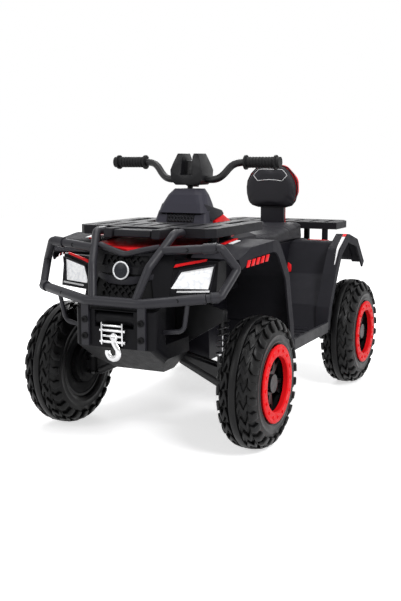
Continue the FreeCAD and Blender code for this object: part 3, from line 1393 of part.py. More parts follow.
def make_side_loop():
    start = (guard_line()[1] + guard_line()[2]) * 0.5
    low = V(LOOP_LOW_X, LOOP_LOW_Y, LOOP_LOW_Z)
    end = V(BAR_END_X, BAR_END_Y, BAR_END_Z)
    line = [
        start,
        V(LOOP_TOP_X, LOOP_TOP_Y, LOOP_TOP_Z),
        V(LOOP_OUT_X, LOOP_OUT_Y, LOOP_OUT_Z),
        low,
        end + (low - end).normalize() * SEAT_CLEAR,
    ]
    loop = tube(line, GUARD_R, BAR_BEND / 4)
    top = line[1]
    inward = (start - top).normalize()
    sleeve = rod(top + inward * GUARD_R, top + inward * (GUARD_R + LOOP_SLEEVE_LEN), GUARD_R + SLEEVE_EXTRA)
    loop = loop.fuse(sleeve)
    return loop.cut(tube(guard_line(), GUARD_R + SEAT_CLEAR, BAR_BEND / 2)).cut(bar_end_room())


def bar_end_room():
    end = V(BAR_END_X, BAR_END_Y, BAR_END_Z)
    flat = V(BAR_X, BAR_FLAT_Y, BAR_Z)
    return rod(flat, end + (end - flat).normalize() * SEAT_CLEAR, BAR_R + SEAT_CLEAR)


def make_bolts():
    bolts = []
    face = HOUSING_FRONT_X + PLATE_T
    for y in (-PLATE_Y, PLATE_Y):
        for z in (BOLT_LOW_Z, BOLT_HIGH_Z):
            head = V(face, y, z)
            points = []
            for i in range(6):
                angle = math.pi * i / 3
                points.append((y + BOLT_R * math.cos(angle), z + BOLT_R * math.sin(angle)))
            bolts.append(prism_yz(points, head.x, head.x + BOLT_H))
    return Part.makeCompound(bolts)


def make_fairlead():
    x0 = HOUSING_FRONT_X
    x1 = x0 + FAIRLEAD_T
    low, high, half = FAIRLEAD_LOW_Z, FAIRLEAD_HIGH_Z, FAIRLEAD_HALF_W
    frame = box(x0, x1, -half, half, low, high)
    frame = frame.cut(box(x0 - FAIRLEAD_T, x1 + FAIRLEAD_T, FAIRLEAD_RIM - half, half - FAIRLEAD_RIM,
                          low + FAIRLEAD_RIM, high - FAIRLEAD_RIM))
    rollers = []
    for y in (FAIRLEAD_RIM - half, half - FAIRLEAD_RIM):
        rollers.append(rod(V(x1, y, low), V(x1, y, high), ROLLER_R))
    for z in (low + FAIRLEAD_RIM, high - FAIRLEAD_RIM):
        rollers.append(rod(V(x1, -half - ROLLER_NUB, z), V(x1, half + ROLLER_NUB, z), ROLLER_R))
    fairlead = frame.multiFuse(rollers).cut(box(x0 - ROLLER_R, x0, -half * 2, half * 2, low, high))
    gap = HOOK_R + SEAT_CLEAR
    return fairlead.cut(box(x0, x1 + ROLLER_R * 2, -gap, gap, low - ROLLER_R, HOOK_EYE_Z + HOOK_BEND + SEAT_CLEAR))


def make_hook():
    x = HOUSING_FRONT_X + HOOK_R
    line = [
        V(x, 0, HOOK_EYE_Z),
        V(x, 0, HOOK_NECK_Z),
        V(x, HOOK_HALF_W, HOOK_SHOULDER_Z),
        V(x, HOOK_HALF_W, HOOK_LOW_Z),
        V(x, -HOOK_HALF_W, HOOK_LOW_Z),
        V(x, -HOOK_HALF_W, HOOK_SHOULDER_Z),
    ]
    hook = tube(line, HOOK_R, HOOK_BEND)
    plate = box(x - HOOK_R, x + HOOK_R, -HOOK_R, HOOK_R, HOOK_EYE_Z - HOOK_R, HOOK_EYE_Z + HOOK_BEND)
    return hook.fuse(plate)


# Racks
def grooves(x0, x1, half, count, top):
    cuts = []
    step = 2 * half / (count - 1)
    for i in range(count):
        y = -half + step * i
        cuts.append(box(x0, x1, y - RACK_GROOVE_W / 2, y + RACK_GROOVE_W / 2, top - RACK_GROOVE_DEPTH, top))
    return Part.makeCompound(cuts)


def make_front_rack():
    half = [
        (RACK_FRONT_X, RACK_HALF_W - RACK_CORNER),
        (RACK_FRONT_X - RACK_CORNER, RACK_HALF_W),
        (RACK_REAR_X + RACK_CORNER, RACK_HALF_W),
        (RACK_REAR_X, RACK_HALF_W - RACK_CORNER),
        (RACK_REAR_X, RACK_NOTCH_HALF_W),
        (RACK_NOTCH_X - RACK_CORNER, RACK_NOTCH_HALF_W),
        (RACK_NOTCH_X, RACK_NOTCH_HALF_W - RACK_CORNER),
    ]
    plan = half + [(x, -y) for x, y in reversed(half)]
    top = RACK_Z + RACK_T
    slab = prism_xy(plan, RACK_Z, top)
    slab = slab.cut(grooves(RACK_NOTCH_X + RACK_RIM, RACK_FRONT_X - RACK_RIM,
                            RACK_HALF_W - RACK_RIM * 1.5, RACK_GROOVE_COUNT, top))
    side_y = (RACK_HALF_W + RACK_NOTCH_HALF_W) / 2
    for y in (-side_y, side_y):
        slab = slab.cut(box(RACK_REAR_X + RACK_RIM, RACK_NOTCH_X - RACK_RIM / 2, y - RACK_GROOVE_W,
                            y + RACK_GROOVE_W, top - RACK_GROOVE_DEPTH, top))
    for y in (-RACK_NOTCH_HALF_W, RACK_NOTCH_HALF_W):
        slab = slab.cut(box(RACK_FRONT_X - RACK_GROOVE_W, RACK_FRONT_X, y - RACK_GROOVE_W / 2,
                            y + RACK_GROOVE_W / 2, RACK_Z + RACK_T / 2, top))
    posts = []
    for sign in (-1, 1):
        for x in (RACK_POST_FRONT_X, RACK_POST_REAR_X):
            foot = FENDER_BROW_Z - RACK_T
            posts.append(rod(V(x, sign * RACK_POST_Y, foot), V(x, sign * RACK_POST_Y, RACK_Z), RACK_POST_R))
    rack = slab.multiFuse(posts)
    fender = front_deck_room()
    return rack.cut(fender).cut(mirrored(fender))


def front_deck_room():
    return under_line(fender_line()[:5], FENDER_HEEL_BEND, [(FENDER_TIP_X, FENDER_SHIN_Z)], DECK_IN_Y, FLARE_Y)


def make_rear_rack(reach):
    rear_x = -reach
    half = [
        (REAR_RACK_FRONT_X, REAR_RACK_HALF_W),
        (rear_x + RACK_CORNER * 2, REAR_RACK_HALF_W),
        (rear_x, REAR_RACK_TAIL_HALF_W),
    ]
    plan = half + [(x, -y) for x, y in reversed(half)]
    top = REAR_RACK_Z + RACK_T
    slab = prism_xy(plan, REAR_RACK_Z, top)
    slab = slab.cut(grooves(rear_x + RACK_RIM, REAR_RACK_FRONT_X - RACK_RIM,
                            REAR_RACK_TAIL_HALF_W - RACK_RIM, RACK_GROOVE_COUNT, top))
    posts = []
    for sign in (-1, 1):
        for x, y in ((REAR_POST_FRONT_X, REAR_POST_FRONT_Y), (REAR_POST_REAR_X, REAR_POST_REAR_Y)):
            posts.append(rod(V(x, sign * y, TAIL_LOW_Z + TUB_HALF_W), V(x, sign * y, REAR_RACK_Z), RACK_POST_R))
    rack = slab.multiFuse(posts)
    deck = under_line(rear_line(), FENDER_BEND, [(REAR_TIP_X, FLOOR_Z)], TUB_HALF_W, REAR_FLARE_Y)
    tail = prism_xz([
        (TUB_REAR_X, BODY_TOP_Z),
        (TAIL_TOP_BREAK_X, BODY_TOP_Z),
        (TAIL_REAR_X, TAIL_REAR_Z),
        (TAIL_REAR_X, TAIL_LOW_Z),
        (TUB_REAR_X, TAIL_LOW_Z),
    ], -TUB_HALF_W, TUB_HALF_W)
    return rack.cut(deck).cut(mirrored(deck)).cut(tail)


# Rear fenders and footwells
def rear_line():
    return [
        (FOOT_REAR_X, FLOOR_Z),
        (REAR_SHIN_X, REAR_SHIN_Z),
        (REAR_KNEE_X, REAR_KNEE_Z),
        (REAR_CREST_X, REAR_CREST_Z),
        (REAR_DECK_X, REAR_DECK_Z),
        (REAR_TIP_X, REAR_TIP_Z),
    ]


def band_line():
    return [
        (FOOT_REAR_X, FLOOR_Z),
        (BAND_SHIN_X, REAR_SHIN_Z),
        (BAND_KNEE_X, BAND_KNEE_Z),
        (BAND_SHOULDER_X, BAND_SHOULDER_Z),
        (BAND_CREST_X, BAND_CREST_Z),
        (BAND_DECK_X, BAND_DECK_Z),
        (BAND_TIP_X, BAND_TIP_Z),
    ]


def make_rear_fender():
    # The wall behind the footwell lies deeper than the flared band outside it, and a web joins the two.
    sheet = bent_sheet(rear_line(), FENDER_BEND, FENDER_T, TUB_HALF_W, BAND_IN_Y + FENDER_T)
    band = bent_sheet(band_line(), FENDER_BEND, FENDER_T, BAND_IN_Y, REAR_FLARE_Y)
    lip = bent_sheet(band_line(), FENDER_BEND, REAR_LIP, REAR_FLARE_Y - FENDER_LIP_T, REAR_FLARE_Y)
    foot = (BAND_TIP_X, FLOOR_Z)
    web = under_line(band_line(), FENDER_BEND, [foot], BAND_IN_Y, BAND_IN_Y + FENDER_T)
    open_side = [(BAND_TIP_X, REAR_TIP_Z), foot]
    web = web.cut(under_line(rear_line(), FENDER_BEND, open_side, BAND_IN_Y, BAND_IN_Y + FENDER_T))
    seat_room = box(SEAT_REAR_X - SEAT_CLEAR, SEAT_FRONT_X, 0, SEAT_HALF_W + SEAT_CLEAR, BODY_TOP_Z, BACK_LOW_Z)
    return sheet.multiFuse([band, lip, web]).cut(seat_room)


def make_footwell():
    floor = box(FOOT_REAR_X, FENDER_FOOT_X, TUB_HALF_W, FLARE_Y, FLOOR_Z - FLOOR_T, FLOOR_Z)
    low = FLOOR_Z - FLOOR_T
    sill = box(FOOT_REAR_X, FENDER_FOOT_X, FLARE_Y - SILL_W, FLARE_Y, low, low + SILL_H)
    bars = []
    length = FENDER_FOOT_X - FOOT_REAR_X
    for i in range(TREAD_BAR_COUNT):
        x = FOOT_REAR_X + length * (i + 1) / (TREAD_BAR_COUNT + 1)
        bars.append(box(x - TREAD_BAR_W / 2, x + TREAD_BAR_W / 2, TUB_HALF_W + SILL_W * 2, FLARE_Y - SILL_W * 2,
                        FLOOR_Z, FLOOR_Z + TREAD_BAR_H))
    return floor.multiFuse([sill] + bars)


def pedal_pin():
    return V(PEDAL_HEEL_X, PEDAL_Y, FLOOR_Z + TREAD_BAR_H + PEDAL_KNUCKLE_R + PART_CLEAR)


def make_right_footwell():
    well = mirrored(make_footwell())
    pin = pedal_pin()
    across = V(0, 1, 0)
    pieces = []
    half = PEDAL_W / 2 + SEAT_CLEAR
    for sign in (-1, 1):
        near = PEDAL_Y + sign * half
        far = near + sign * EAR_T
        pieces.append(box(pin.x - PEDAL_KNUCKLE_R, pin.x + PEDAL_KNUCKLE_R, min(near, far), max(near, far),
                          FLOOR_Z - FLOOR_T / 2, pin.z + PEDAL_KNUCKLE_R))
    pieces.append(ring_cut(pin, across, PEDAL_PIN_R, half + EAR_T))
    return well.multiFuse(pieces)


def make_pedal():
    pin = pedal_pin()
    across = V(0, 1, 0)
    half = PEDAL_W / 2
    knuckle = ring_cut(pin, across, PEDAL_KNUCKLE_R, half)
    plate = box(pin.x, pin.x + PEDAL_L, PEDAL_Y - half, PEDAL_Y + half, pin.z, pin.z + PEDAL_T)
    ribs = []
    for share in (0.35, 0.55, 0.75, 0.95):
        x = pin.x + PEDAL_L * share
        ribs.append(box(x - PEDAL_T / 2, x, PEDAL_Y - half + PEDAL_T, PEDAL_Y + half - PEDAL_T,
                        pin.z, pin.z + PEDAL_T + TREAD_BAR_H))
    tread = plate.multiFuse(ribs)
    tread.rotate(pin, across, -PEDAL_TILT_DEG)
    return knuckle.fuse(tread).cut(ring_cut(pin, across, PEDAL_PIN_R + RUN_CLEAR, PEDAL_W))


# Seat, tank, column cover, backrest
def make_seat():
    profile = [
        (SEAT_FRONT_X, BODY_TOP_Z),
        (SEAT_FRONT_X, SEAT_NOSE_Z),
        (SEAT_DIP_X, SEAT_DIP_Z),
        (SEAT_REAR_X, SEAT_BACK_Z),
        (SEAT_REAR_X, BODY_TOP_Z),
    ]
    block = prism_xz(profile, -SEAT_HALF_W, SEAT_HALF_W)
    plan = [
        (SEAT_FRONT_X, -SEAT_NOSE_HALF_W),
        (SEAT_DIP_X, -SEAT_HALF_W),
        (SEAT_REAR_X, -SEAT_HALF_W),
        (SEAT_REAR_X, SEAT_HALF_W),
        (SEAT_DIP_X, SEAT_HALF_W),
        (SEAT_FRONT_X, SEAT_NOSE_HALF_W),
    ]
    block = block.common(prism_xy(plan, BODY_TOP_Z, BACK_LOW_Z))
    edges = [e for e in block.Edges if e.BoundBox.ZMin > BODY_TOP_Z + SEAT_ROUND and e.BoundBox.XLength > PART_CLEAR]
    block = block.makeFillet(SEAT_ROUND, edges)
    return block


def make_tank():
    profile = [
        (SEAT_FRONT_X + SEAT_CLEAR, BODY_TOP_Z),
        (SEAT_FRONT_X + SEAT_CLEAR, SEAT_NOSE_Z),
        (TANK_BREAK_X, TANK_BREAK_Z),
        (TANK_FRONT_X, TANK_TOP_Z),
        (TANK_FRONT_X, BODY_TOP_Z),
    ]
    block = prism_xz(profile, -TANK_HALF_W, TANK_HALF_W)
    taper = prism_yz([
        (-TANK_HALF_W, BODY_TOP_Z),
        (TANK_HALF_W, BODY_TOP_Z),
        (TANK_HALF_W, SEAT_NOSE_Z),
        (TANK_TOP_HALF_W, TANK_TOP_Z),
        (-TANK_TOP_HALF_W, TANK_TOP_Z),
        (-TANK_HALF_W, SEAT_NOSE_Z),
    ], SEAT_FRONT_X, TANK_FRONT_X)
    block = block.common(taper)
    dash = box(DASH_X, DASH_X + DASH_L, -DASH_HALF_W, DASH_HALF_W, BODY_TOP_Z, TANK_TOP_Z)
    block = block.fuse(dash)
    hole = rod(V(BUTTON_X, BUTTON_Y, TANK_TOP_Z - BUTTON_H), V(BUTTON_X, BUTTON_Y, TANK_TOP_Z + PART_CLEAR),
               BUTTON_R + SEAT_CLEAR)
    slot = ring_cut(rocker_pin(), V(0, 1, 0), ROCKER_R + SEAT_CLEAR, ROCKER_W / 2 + SEAT_CLEAR)
    mouth = box(BUTTON_X - ROCKER_R, BUTTON_X + ROCKER_R, -BUTTON_Y - ROCKER_W / 2 - SEAT_CLEAR,
                -BUTTON_Y + ROCKER_W / 2 + SEAT_CLEAR, rocker_pin().z, TANK_TOP_Z + PART_CLEAR)
    wall = COVER_WALL
    depth = BUTTON_H + wall
    room = prism_xz([
        (SEAT_FRONT_X + wall * 2, BODY_TOP_Z),
        (SEAT_FRONT_X + wall * 2, SEAT_NOSE_Z - depth),
        (TANK_BREAK_X, TANK_BREAK_Z - depth),
        (TANK_FRONT_X - wall, TANK_TOP_Z - depth),
        (TANK_FRONT_X - wall, BODY_TOP_Z),
    ], wall - TANK_TOP_HALF_W, TANK_TOP_HALF_W - wall)
    return block.cut(hole).cut(slot).cut(mouth).cut(room)


def rocker_pin():
    return V(BUTTON_X, -BUTTON_Y, TANK_TOP_Z - ROCKER_R / 2)


def make_button():
    low = TANK_TOP_Z - BUTTON_H + BUTTON_PROUD
    cap = rod(V(BUTTON_X, BUTTON_Y, low), V(BUTTON_X, BUTTON_Y, TANK_TOP_Z + BUTTON_PROUD), BUTTON_R)
    top = [e for e in cap.Edges if e.BoundBox.ZMin > TANK_TOP_Z]
    return cap.makeFillet(PART_CLEAR * 2, top)


def make_rocker():
    pin = rocker_pin()
    barrel = ring_cut(pin, V(0, 1, 0), ROCKER_R, ROCKER_W / 2)
    lever = box(pin.x - ROCKER_LEVER_T / 2, pin.x + ROCKER_LEVER_T / 2, pin.y - ROCKER_W / 2, pin.y + ROCKER_W / 2,
                pin.z, pin.z + ROCKER_R + ROCKER_LEVER_H)
    return barrel.fuse(lever)


def cover_loft(rows, inset):
    sections = []
    for rear, front, half, z in rows:
        corners = [
            V(rear + inset, half - inset, z - inset),
            V(front - inset, half - inset, z - inset),
            V(front - inset, inset - half, z - inset),
            V(rear + inset, inset - half, z - inset),
        ]
        reach = min(COVER_CORNER, (front - rear) * COVER_CORNER_SHARE)
        sections.append(rounded_loop(corners, reach - inset))
    return loft(*sections)


def make_cover():
    back = TANK_FRONT_X + SEAT_CLEAR
    neck_rows = [
        (back, COVER_BASE_FRONT_X, COVER_BASE_HALF_W, FENDER_HEEL_Z),
        (back, COVER_NECK_FRONT_X, COVER_NECK_HALF_W, COVER_NECK_Z + COVER_WALL),
    ]
    dome_rows = [
        (COVER_REAR_X, VISOR_FRONT_X, VISOR_HALF_W, COVER_NECK_Z),
        (COVER_REAR_X, VISOR_MID_FRONT_X, VISOR_MID_HALF_W, VISOR_MID_Z),
        (COVER_REAR_X, VISOR_HIGH_FRONT_X, VISOR_HIGH_HALF_W, VISOR_HIGH_Z),
        (COVER_REAR_X, COVER_TOP_FRONT_X, COVER_TOP_HALF_W, COVER_TOP_Z),
    ]
    neck = cover_loft(neck_rows, 0)
    vent = box(TANK_FRONT_X, COVER_BASE_FRONT_X, -VENT_HALF_W, VENT_HALF_W, VENT_LOW_Z, COVER_NECK_Z)
    recess = neck.common(vent).cut(neck.translated(V(-VENT_DEPTH, 0, 0)))
    shell = neck.cut(recess).fuse(cover_loft(dome_rows, 0))
    shell = shell.cut(cover_loft(neck_rows, COVER_WALL)).cut(cover_loft(dome_rows, COVER_WALL))
    return shell.cut(rod(COLUMN_FOOT, COLUMN_HEAD, COLUMN_R + COLUMN_ROOM))


def back_outline(inset):
    half = [
        (BACK_LOW_HALF_W - inset, BACK_LOW_Z + inset),
        (BACK_HALF_W - inset, BACK_WAIST_Z),
        (BACK_SHOULDER_HALF_W - inset, BACK_SHOULDER_Z),
        (BACK_TOP_HALF_W - inset, BACK_TOP_Z - inset),
    ]
    return half + [(-y, z) for y, z in reversed(half)]


def make_back_pad():
    pad_back = BACK_FRONT_X - BACK_PAD_T
    pad = prism_yz(back_outline(PART_CLEAR * 2), pad_back, BACK_FRONT_X)
    along = [e for e in pad.Edges if e.BoundBox.XLength > PART_CLEAR]
    pad = pad.makeFillet(BACK_ROUND, along)
    front = [e for e in pad.Edges if e.BoundBox.XMin > BACK_FRONT_X - PART_CLEAR]
    return pad.makeFillet(BACK_PAD_T / 3, front)


def make_back_shell():
    front = BACK_FRONT_X - BACK_PAD_T
    rear = front - BACK_SHELL_T
    shell = prism_yz(back_outline(0), rear, front)
    along = [e for e in shell.Edges if e.BoundBox.XLength > PART_CLEAR]
    shell = shell.makeFillet(BACK_ROUND, along)
    edge = [e for e in shell.Edges if e.BoundBox.XMax < rear + PART_CLEAR]
    shell = shell.makeFillet(BACK_SHELL_T / 2, edge)
    post = box(rear, front, -POST_HALF_W, POST_HALF_W, BODY_TOP_Z, BACK_WAIST_Z)
    return shell.fuse(post)


# Steering column, handlebar, grips, pod
def make_column():
    up = V(0, 0, 1)
    shaft = rod(COLUMN_FOOT, COLUMN_HEAD - COLUMN_AXIS * HANDLE_R, COLUMN_R)
    plate = box(TIE_X - STEER_ARM_W / 2, FRONT_X + STEER_ARM_W / 2, -PITMAN_HALF - STUD_R * 2, PITMAN_HALF + STUD_R * 2,
                PITMAN_Z, PITMAN_Z + PITMAN_T)
    pieces = [plate]
    for y in (-PITMAN_HALF, PITMAN_HALF):
        foot = V(TIE_X, y, TIE_IN_Z - PITMAN_EYE_T)
        pieces.append(rod(foot, V(TIE_X, y, PITMAN_Z), PITMAN_PIN_R))
    clamp = box(-CLAMP_HALF, CLAMP_HALF, -CLAMP_HALF, CLAMP_HALF, -CLAMP_HALF, HANDLE_R / 2)
    clamp.rotate(V(0, 0, 0), V(0, 1, 0), -COLUMN_RAKE)
    pieces.append(clamp.translated(COLUMN_HEAD))
    column = shaft.multiFuse(pieces)
    return column.cut(ring_cut(COLUMN_HEAD, V(0, 1, 0), HANDLE_R + RUN_CLEAR, CLAMP_HALF * 2))


def handle_line():
    half = [
        V(BAR_CLAMP_X, HANDLE_LOW_Y, BAR_CLAMP_Z),
        V(HANDLE_GRIP_X, HANDLE_RISE_Y, HANDLE_GRIP_Z),
        V(HANDLE_GRIP_X, HANDLE_END_Y, HANDLE_GRIP_Z),
    ]
    return [V(p.x, -p.y, p.z) for p in reversed(half)] + half


def make_grip():
    centre = V(HANDLE_GRIP_X, 0, HANDLE_GRIP_Z)
    out = V(0, 1, 0)
    end = HANDLE_END_Y + GRIP_FLANGE_T
    start = end - GRIP_LEN
    grip = rod(centre + out * start, centre + out * end, GRIP_R)
    for a in (start, end - GRIP_END_LEN):
        grip = grip.fuse(rod(centre + out * a, centre + out * (a + GRIP_FLANGE_T), GRIP_FLANGE_R))
    grip = grip.cut(rod(centre + out * start, centre + out * HANDLE_END_Y, HANDLE_R + RUN_CLEAR))
    for i in range(GRIP_RIB_COUNT):
        a = start + GRIP_FLANGE_T + (GRIP_LEN - GRIP_FLANGE_T - GRIP_END_LEN) * (i + 0.5) / GRIP_RIB_COUNT
        ring = rod(centre + out * (a - GRIP_RIB_W / 2), centre + out * (a + GRIP_RIB_W / 2), GRIP_R + GRIP_RIB_DEPTH)
        core = rod(centre + out * (a - GRIP_RIB_W / 2), centre + out * (a + GRIP_RIB_W / 2), GRIP_R - GRIP_RIB_DEPTH)
        grip = grip.cut(ring.cut(core))
    return grip


def make_pod(handlebar_room):
    def section(half, depth, z):
        c = depth / 4
        d = depth / 2
        points = [(-d, half - c), (c - d, half), (d - c, half), (d, half - c)]
        points += [(x, -y) for x, y in reversed(points)]
        return [V(x, y, z) for x, y in points]
    body = loft(
        section(POD_LOW_HALF_W, POD_DEPTH * 0.8, POD_LOW),
        section(POD_HALF_W, POD_DEPTH, POD_MID),
        section(POD_TOP_HALF_W, POD_DEPTH * 0.7, POD_TOP),
    )
    notch = prism_yz([
        (-POD_NOTCH_HALF_W, POD_TOP + PART_CLEAR),
        (POD_NOTCH_HALF_W, POD_TOP + PART_CLEAR),
        (POD_NOTCH_HALF_W / 2, POD_TOP - POD_NOTCH_DEPTH),
        (-POD_NOTCH_HALF_W / 2, POD_TOP - POD_NOTCH_DEPTH),
    ], -POD_DEPTH, POD_DEPTH)
    clamp = CLAMP_HALF + SEAT_CLEAR
    body = body.cut(notch)
    body = body.cut(box(-clamp, clamp, -clamp, clamp, POD_LOW - PART_CLEAR, HANDLE_R / 2 + SEAT_CLEAR))
    body.rotate(V(0, 0, 0), V(0, 1, 0), -COLUMN_RAKE)
    return body.translated(COLUMN_HEAD).cut(handlebar_room)


def save(name, shape):
    # The body keeps its place over the axles, and other tyres lift it.
    shape = shape.translated(V(0, 0, LIFT))
    shape.exportStep("parts/" + name + ".step")
    solids = shape.Solids
    print(name, len(solids), "solids", "valid" if shape.isValid() else "NOT VALID", round(shape.Volume / 1000), "cm3")


def main():
    os.makedirs("parts", exist_ok=True)

    tyre, rim, ring = make_tyre(), make_rim(), make_ring()
    for end, x in (("front", FRONT_X), ("rear", REAR_X)):
        for side, sign in (("left", 1), ("right", -1)):
            for name, shape in (("tyre", tyre), ("rim", rim), ("ring", ring)):
                turned_shape = shape if sign > 0 else mirrored(shape)
                save(end + "_" + name + "_" + side, turned_shape.translated(V(x, sign * WHEEL_Y, AXLE_Z)))

    knuckle, tie_rod, arm = make_knuckle(), make_tie_rod(), make_front_arm()
    shock_rod, shock_body, spring = make_shock_rod(), make_shock_body(), make_spring()
    front_rod = place_front_shock(shock_rod)
    for name, shape in (("front_knuckle", knuckle), ("tie_rod", tie_rod), ("front_arm", arm),
                        ("front_shock_rod", front_rod)):
        save(name + "_left", shape)
        save(name + "_right", mirrored(shape))
    save("rear_shock_rods", both_sides(place_rear_shock(shock_rod)))
    for name, shape in (("shock_bodies", shock_body), ("shock_springs", spring)):
        front = place_front_shock(shape)
        rear = place_rear_shock(shape)
        save(name, Part.makeCompound([front, mirrored(front), rear, mirrored(rear)]))

    save("chassis_frame", make_frame())
    save("swing_arm", make_swing_arm())
    save("rear_axle", make_rear_axle())
    save("rear_motors", both_sides(make_rear_motor()))
    save("center_tub", make_tub())
    save("tail_panel", make_tail())
    save("battery", make_battery())
    save("control_box", make_control_box())

    fascia, mesh, lens = make_front_end()
    save("front_fascia", fascia)
    save("grille_mesh", mesh)
    save("headlight_lenses", both_sides(lens))
    save("hood_panel", make_hood())
    save("front_fenders", both_sides(make_front_fender()))
    save("rear_fenders", both_sides(make_rear_fender()))
    save("footwells", Part.makeCompound([make_footwell(), make_right_footwell()]))
    save("front_lower_housing", make_housing())

    save("bumper_lower_bar", make_lower_bar())
    save("bumper_uprights", both_sides(make_upright(lower_bar_line())))
    save("bumper_side_loops", both_sides(make_side_loop()))
    save("bumper_bolts", make_bolts())
    save("winch_fairlead", make_fairlead())
    save("winch_hook", make_hook())
    save("front_rack", make_front_rack())
    save("rear_rack", make_rear_rack(BAR_X + BAR_R))

    save("column_cover", make_cover())
    save("tank_cover", make_tank())
    save("seat", make_seat())
    save("backrest_pad", make_back_pad())
    save("backrest_shell", make_back_shell())
    save("pedal", make_pedal())
    save("start_button", make_button())
    save("direction_switch", make_rocker())

    save("steering_column", make_column())
    save("handlebar", tube(handle_line(), HANDLE_R, HANDLE_BEND))
    save("grips", both_sides(make_grip()))
    save("handlebar_pod", make_pod(tube(handle_line(), HANDLE_R + RUN_CLEAR, HANDLE_BEND)))


main()
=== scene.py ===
import bpy
import math
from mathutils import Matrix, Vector


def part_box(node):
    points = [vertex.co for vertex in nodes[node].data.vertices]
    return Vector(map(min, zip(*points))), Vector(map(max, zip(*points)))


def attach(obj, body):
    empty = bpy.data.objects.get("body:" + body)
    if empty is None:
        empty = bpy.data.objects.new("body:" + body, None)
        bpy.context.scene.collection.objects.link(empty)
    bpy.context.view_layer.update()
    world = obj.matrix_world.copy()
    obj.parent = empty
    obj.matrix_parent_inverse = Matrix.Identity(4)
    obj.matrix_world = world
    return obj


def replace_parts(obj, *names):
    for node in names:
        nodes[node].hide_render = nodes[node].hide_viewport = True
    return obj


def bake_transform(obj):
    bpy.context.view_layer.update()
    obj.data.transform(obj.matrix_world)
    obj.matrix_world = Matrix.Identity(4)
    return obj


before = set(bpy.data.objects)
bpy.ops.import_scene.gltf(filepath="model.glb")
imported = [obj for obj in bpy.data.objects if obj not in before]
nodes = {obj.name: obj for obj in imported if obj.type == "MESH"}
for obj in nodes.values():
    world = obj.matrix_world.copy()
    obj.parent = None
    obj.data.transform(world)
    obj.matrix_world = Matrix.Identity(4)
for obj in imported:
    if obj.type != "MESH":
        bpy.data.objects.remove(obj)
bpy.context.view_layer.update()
print("frame loaded with", len(nodes), "nodes")

# everything is in metres: x forward, y to the rider's left, z up
weldDistance = 0.00002
loopDistance = 0.00005
spinDistance = 0.00001


def clearSelection():
    bpy.ops.object.select_all(action="DESELECT")


def pick(piece):
    clearSelection()
    piece.select_set(True)
    bpy.context.view_layer.objects.active = piece


def edit(action="SELECT"):  # edit mode with everything selected, or nothing
    bpy.ops.object.mode_set(mode="EDIT")
    bpy.ops.mesh.select_all(action=action)


def editDone():
    bpy.ops.object.mode_set(mode="OBJECT")


def settle(piece):  # puts the object's place into its mesh
    pick(piece)
    bpy.ops.object.transform_apply(location=True, rotation=True, scale=True)


def named(name):
    piece = bpy.context.active_object
    piece.name = name
    piece.data.name = name
    return piece


def settled(name, scale=(1, 1, 1)):  # the new mesh gets its name, and its place goes into its points
    piece = named(name)
    piece.scale = scale
    settle(piece)
    return piece


def copied(piece, name):
    twin = piece.copy()
    twin.data = piece.data.copy()
    twin.name = name
    twin.data.name = name
    bpy.context.scene.collection.objects.link(twin)
    return twin


def applyAll(piece):
    pick(piece)
    for modifier in list(piece.modifiers):
        bpy.ops.object.modifier_apply(modifier=modifier.name)


def rounded(piece, width, segments=2, degrees=40):  # edges sharper than the angle
    edge = piece.modifiers.new("rounded", "BEVEL")
    edge.width = width
    edge.segments = segments
    edge.limit_method = "ANGLE"
    edge.angle_limit = math.radians(degrees)


def thickened(piece, thick, offset=0.0):
    wall = piece.modifiers.new("wall", "SOLIDIFY")
    wall.thickness = thick
    wall.offset = offset


def finer(piece):
    divided = piece.modifiers.new("finer", "SUBSURF")
    divided.levels = 1
    divided.render_levels = 1


def outward(piece):  # doubles are merged and all faces point out
    pick(piece)
    edit()
    bpy.ops.mesh.remove_doubles(threshold=weldDistance)
    bpy.ops.mesh.normals_make_consistent(inside=False)
    editDone()


# finishes

def setSockets(tree, node, levels):  # a number is set on the socket, an output is linked
    for socket, level in levels.items():
        if isinstance(level, bpy.types.NodeSocket):
            tree.links.new(level, node.inputs[socket])
        else:
            node.inputs[socket].default_value = level


def addNode(tree, kind, levels):
    node = tree.nodes.new(kind)
    setSockets(tree, node, levels)
    return node


def calc(tree, operation, *values):
    step = tree.nodes.new("ShaderNodeMath")
    step.operation = operation
    setSockets(tree, step, dict(enumerate(values)))
    return step.outputs[0]


def startFinish(name):
    finish = bpy.data.materials.new(name)
    finish.use_nodes = True
    tree = finish.node_tree
    coords = tree.nodes.new("ShaderNodeTexCoord")
    return finish, tree, tree.nodes["Principled BSDF"], coords.outputs["Object"]


def noiseOn(tree, coords, scale, detail=3.0, rough=0.55):
    levels = {"Vector": coords, "Scale": scale, "Detail": detail, "Roughness": rough}
    return addNode(tree, "ShaderNodeTexNoise", levels).outputs["Fac"]


def cellsOn(tree, coords, scale, feature="F1"):
    cells = addNode(tree, "ShaderNodeTexVoronoi", {"Vector": coords, "Scale": scale})
    cells.feature = feature
    return cells.outputs["Distance"]


def spread(tree, value, low, high, fromLow=0.3, fromHigh=0.7):
    levels = {"Value": value, "From Min": fromLow, "From Max": fromHigh, "To Min": low, "To Max": high}
    return addNode(tree, "ShaderNodeMapRange", levels).outputs["Result"]


def tint(tree, value, dark, light, fromLow=0.3, fromHigh=0.7):
    ramp = addNode(tree, "ShaderNodeValToRGB", {"Fac": value})
    for stop, position, colour in zip(ramp.color_ramp.elements, (fromLow, fromHigh), (dark, light)):
        stop.position = position
        stop.color = (*colour, 1)
    return ramp.outputs["Color"]


def shaded(colour, share):
    return tuple(part * share for part in colour)


def raised(tree, height, strength, distance, below=None):
    levels = {"Height": height, "Strength": strength, "Distance": distance}
    if below is not None:
        levels["Normal"] = below
    return addNode(tree, "ShaderNodeBump", levels).outputs["Normal"]


